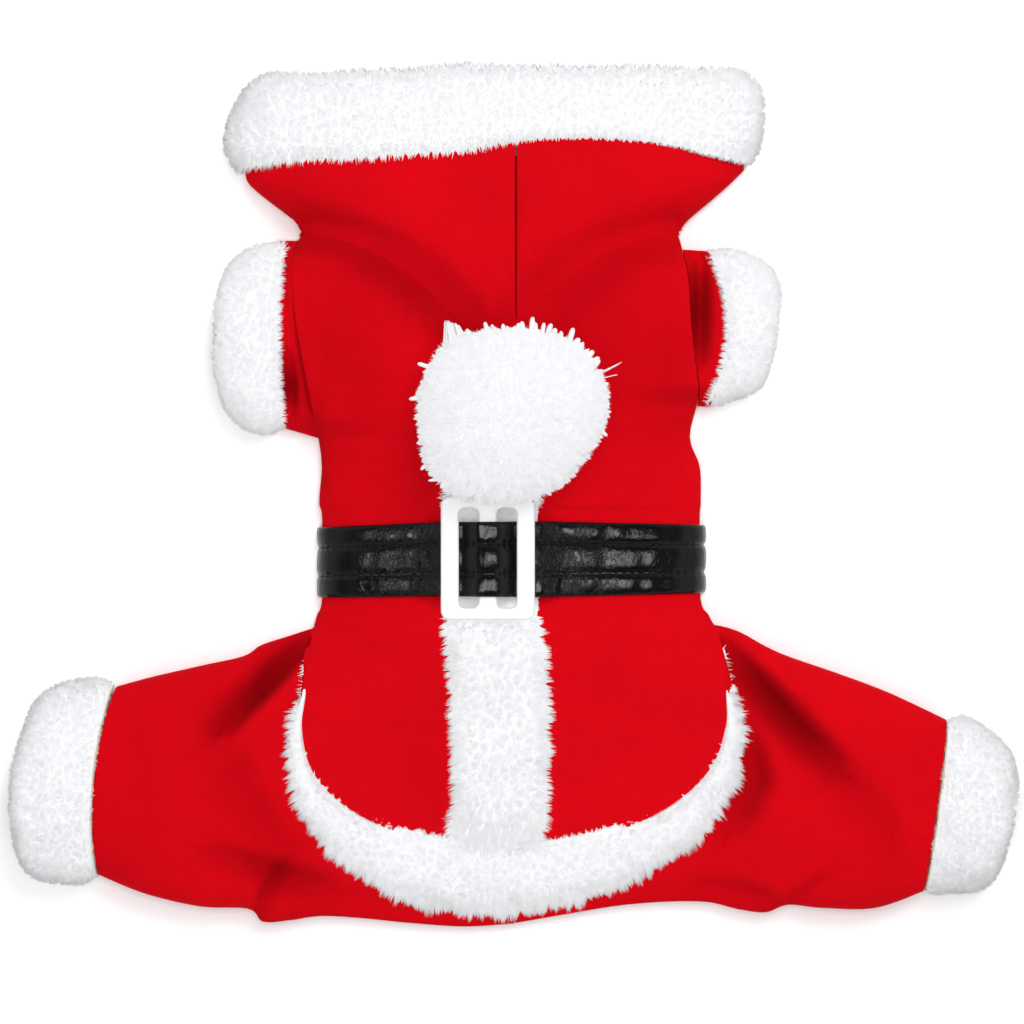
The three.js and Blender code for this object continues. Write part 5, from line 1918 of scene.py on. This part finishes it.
@dataclass
class Pompom:
    """The pompom: a soft core under fingers of cut yarn and finer fluff."""

    z: float = 46.0
    height: float = 22.0
    fingers: Tufts = Tufts(3500, 1.0, 4.5, 0.7, 0.35, 0.14, 0.9, Lock.FINGER, 91)
    fluff: Tufts = Tufts(13000, 0.37, 3.4, 1.0, 0.4, lift=0.9, seed=95)

    def build(self, below: Terrain) -> None:
        """Makes the core and its yarn above what is below."""
        u = np.linspace(-0.997, 0.997, 64)[:, None]
        turn = np.linspace(0, 2 * np.pi, 101)[:-1][None, :]
        y0, y1 = POMPOM.columns["y"][0], POMPOM.columns["y"][-1]
        along = (y0 + y1) / 2 - (y0 - y1) / 2 * np.sin(u * np.pi / 2)
        row = np.interp(-along, -POMPOM.columns["y"], np.arange(POMPOM.last + 1))
        left, right = POMPOM.at("left", row) + 5.0, POMPOM.at("right", row) - 5.0
        half = (right - left) / 2
        swell = fall(np.sin(u * np.pi / 2), 3.0, 0.5)
        spot = (half * np.cos(turn), along)
        lumps = 1 + 0.02 * Undulation(93, 9).at(*spot) + 0.012 * Undulation(94, 4).at(*spot)
        x = (left + right) / 2 + half * fall(np.sin(u * np.pi / 2), 14, 0.5) * np.cos(turn) * lumps
        z = self.z + self.height * np.minimum(half / 34, 1) ** 0.7 * swell * np.sin(turn) * lumps
        y = along + 0 * x
        ground = below.height(x, y, 20)
        z = smooth_max(z, ground + 1.2, 1.0)
        points = grid(x, y, z)
        index = np.arange(x.size).reshape(x.shape)
        every = np.concatenate([points.reshape(-1, 3), points[[0, -1]].mean(axis=1)])
        faces = quads(index, True).tolist()
        for k, cap in enumerate((index[0, ::-1], index[-1])):
            faces.extend([int(a), int(b), x.size + k] for a, b in zip(cap, np.roll(cap, -1)))
        core = mesh_of("pompom_core", every, faces)
        solid = bmesh.new()
        solid.from_mesh(core)
        bmesh.ops.recalc_face_normals(solid, faces=solid.faces)
        solid.to_mesh(core)
        solid.free()
        core.shade_smooth()
        body = linked("pompom_core", core)
        rim = np.clip(1 - np.abs(np.sin(turn)), 0, 1) * swell
        away = np.stack([np.cos(turn) + 0 * y, (along - 36) / 45 + 0 * x, 0 * x], -1)
        way = away * (0.4 * rim)[..., None]
        cover = 0.45 + 0.55 * smoothstep(np.sin(turn), -0.5, 0.0) + 0 * x
        comb(body, way, 4.6 + 0.9 * rim, cover)
        # The yarn is a slightly darker copy of the plush white: painted shade that holds down the stronger
        # light on the raised pompom.
        finish = Plush("yarn", "yarn_white", (0.74, 0.745, 0.765), (0.79, 0.79, 0.805))
        finished(self._strays(), finish)
        yarn = self.fingers.grow("pompom_yarn", body, finish)
        fluff = self.fluff.grow("pompom_fluff", body, finish)
        finished(body, finish, "pompom")
        finished(yarn, finish)
        finished(fluff, finish)

    def _strays(self) -> bpy.types.Object:
        """The longer ends of yarn that stick out round the outline, as tapered tubes."""
        share = (0.0, 0.4, 0.7, 0.84, 0.92, 0.97, 1.0)
        rings, sides = len(share), 7
        points, faces = [], []
        chance = np.random.default_rng(97)
        rows = [tuple(STRAYS.columns[key][k] for key in STRAYS.columns) for k in range(STRAYS.last + 1)]
        for x in np.linspace(-15, 29, 24):
            top = 60.5 - 15 * max((x - 2) / 30, 0) ** 2.2 - 3 * max(-(x - 2) / 20, 0) ** 2
            low, high, wide = chance.random(3)
            turn = 90 - (x - 2) * 1.5 + (low - 0.5) * 26
            length = 6.6 + 4.4 * high * low + 1.2 * wide
            rows.append((x + 1.2 * (high - 0.5), top, turn, length, 1.0 + 0.5 * wide))
        for k, (x, y, turn, length, girth) in enumerate(rows):
            way = np.array([math.cos(math.radians(turn)), math.sin(math.radians(turn)), 0.0])
            aside = np.array([-way[1], way[0], 0.0])
            bow = (0.5 - (k * 0.37) % 1) * 1.6
            start = len(points)
            for r in range(rings):
                t = share[r]
                spot = np.array([x, y, self.z - 2 + 2.5 * ((k * 0.61) % 1)]) + way * length * t
                spot = spot + aside * bow * t * t - np.array([0, 0, 1.5 * t * t])
                wide = girth * (1 - 0.2 * t) * math.sqrt(max(1 - (max(t - 0.84, 0) / 0.163) ** 2, 0.02))
                for q in range(sides):
                    a = 2 * math.pi * q / sides
                    points.append(spot + aside * wide * math.cos(a) + np.array([0, 0, wide * math.sin(a)]))
            index = start + np.arange(rings * sides).reshape(rings, sides)
            faces.extend(quads(index, True).tolist())
            faces.extend([index[0, ::-1].tolist(), index[-1].tolist()])
        return linked("pompom_strays", mesh_of("pompom_strays", points, faces))


@dataclass
class Studio:
    """The pale floor, the soft lights and the camera straight above."""

    height: float = 2.0
    view: float = 0.4096
    centre: tuple[float, float] = (-0.00134, -0.00513)
    floor: float = 3.0

    def build(self) -> None:
        """Makes them all."""
        bpy.context.scene.view_settings.view_transform = "Standard"
        floor = bpy.data.meshes.new("floor")
        corners = [(x * self.floor, y * self.floor, 0) for x, y in ((-1, -1), (1, -1), (1, 1), (-1, 1))]
        floor.from_pydata(corners, [], [(0, 1, 2, 3)])
        sh = Shader("floor_pale")
        pale = sh.colour(sh.noise(400, 1, 0.4), (0.93, 0.93, 0.935), (0.95, 0.95, 0.955))
        floor.materials.append(sh.finish(Base_Color=pale, Roughness=0.95, Specular_IOR_Level=0.1))
        linked("floor", floor)
        bpy.context.scene.world = self._sky()
        self._light("top", (0.0, 0.15, 2.7), 2.2, 46)
        self._light("key", (0.55, 1.1, 1.5), 0.8, 15)
        self._light("fill", (-0.5, -1.1, 1.5), 1.1, 6)
        for x in (-0.45, 0.45):
            self._light(f"gloss_{'left' if x < 0 else 'right'}", (x, -0.02, 2.15), 0.52, 13.0, 1.0)
        camera = bpy.data.cameras.new("camera")
        camera.sensor_width = 36
        camera.lens = 36 * self.height / self.view
        camera.clip_end = 20
        eye = linked("camera", camera)
        eye.location = (*self.centre, self.height + 0.015)
        bpy.context.scene.camera = eye

    @staticmethod
    def _sky() -> bpy.types.World:
        """A white surround that is dim straight above, so that glossy black stays black."""
        world = bpy.data.worlds.new("studio")
        world.use_nodes = True
        nodes, links = world.node_tree.nodes, world.node_tree.links
        kinds = ("ShaderNodeTexCoord", "ShaderNodeSeparateXYZ", "ShaderNodeMapRange")
        where, apart, ramp = (nodes.new(kind) for kind in kinds)
        ramp.interpolation_type = "SMOOTHSTEP"
        for key, value in (("From Min", 0.42), ("From Max", 0.80), ("To Min", 0.68), ("To Max", 0.04)):
            ramp.inputs[key].default_value = value
        links.new(where.outputs["Generated"], apart.inputs[0])
        links.new(apart.outputs["Z"], ramp.inputs[0])
        nodes["Background"].inputs[0].default_value = (1.0, 1.0, 1.0, 1)
        links.new(ramp.outputs[0], nodes["Background"].inputs[1])
        return world

    @staticmethod
    def _light(
        name: str, place: tuple[float, float, float], size: float, power: float, length: float = 0.0
    ) -> None:
        """A soft light that points at the garment.

        Args:
            name: of the light.
            place: in metres.
            size: across, in metres.
            power: in watts.
            length: 0 for a round light, or the length of a panel that only glossy surfaces mirror.
        """
        lamp = bpy.data.lights.new(name, "AREA")
        lamp.shape = "ELLIPSE" if length else "DISK"
        lamp.size = size
        lamp.energy = power
        if length:
            lamp.size_y = length
        holder = linked(name, lamp)
        holder.visible_diffuse = not length
        holder.visible_glossy = bool(length)
        holder.location = place
        holder.rotation_euler = (-Vector(place)).to_track_quat("-Z", "Y").to_euler()


def main() -> None:
    """Builds the costume and its studio."""
    logging.basicConfig(level=logging.INFO, format="%(message)s")
    legs = [Trousers(side) for side in Side]
    for leg in legs:
        leg.build()
    on_legs = Terrain(*(leg.points for leg in legs))
    coat = Coat()
    coat.build(on_legs)
    on_coat = Terrain(coat.points)
    nape = Hood.nape(on_coat)
    hood = Hood()
    hood.build(Terrain(coat.points, nape), on_coat)
    for side in Side:
        Sleeve(side).build()
        axis = (float(side.value), 0.0)
        sleeve_tufts = Tufts(10200, 0.44, lift=0.6, seed=101 + side.value)
        leg_tufts = Tufts(13800, 0.44, seed=111 + side.value)
        PlushBand(f"sleeve_cuff_{side.word}", SLEEVE_CUFFS[side], axis, sleeve_tufts, 0.5, 0.3).build()
        cuff = f"trouser_cuff_{side.word}"
        band = PlushBand(cuff, TROUSER_CUFFS[side], axis, leg_tufts, -0.8, 0.05, seam_pile=1.2)
        band.thread = Thread("plush", "thread_cream", (0.72, 0.55, 0.38))
        band.build()
    brim_tufts = Tufts(27500, 0.45, seed=121)
    brim = PlushBand("hood_trim", HOOD_TRIM, (0.0, 1.0), brim_tufts, 0.7, 0.2, 2.9, 3.8, brim_shift)
    brim.section = Section(120, 26, 4.0)
    brim.build()
    Placket().build(on_coat)
    TailTrim().build(on_legs, on_coat)
    Belt().build()
    Buckle().build()
    Pompom().build(Terrain(coat.points, *hood.halves))
    Studio().build()


if __name__ == "__main__":
    main()
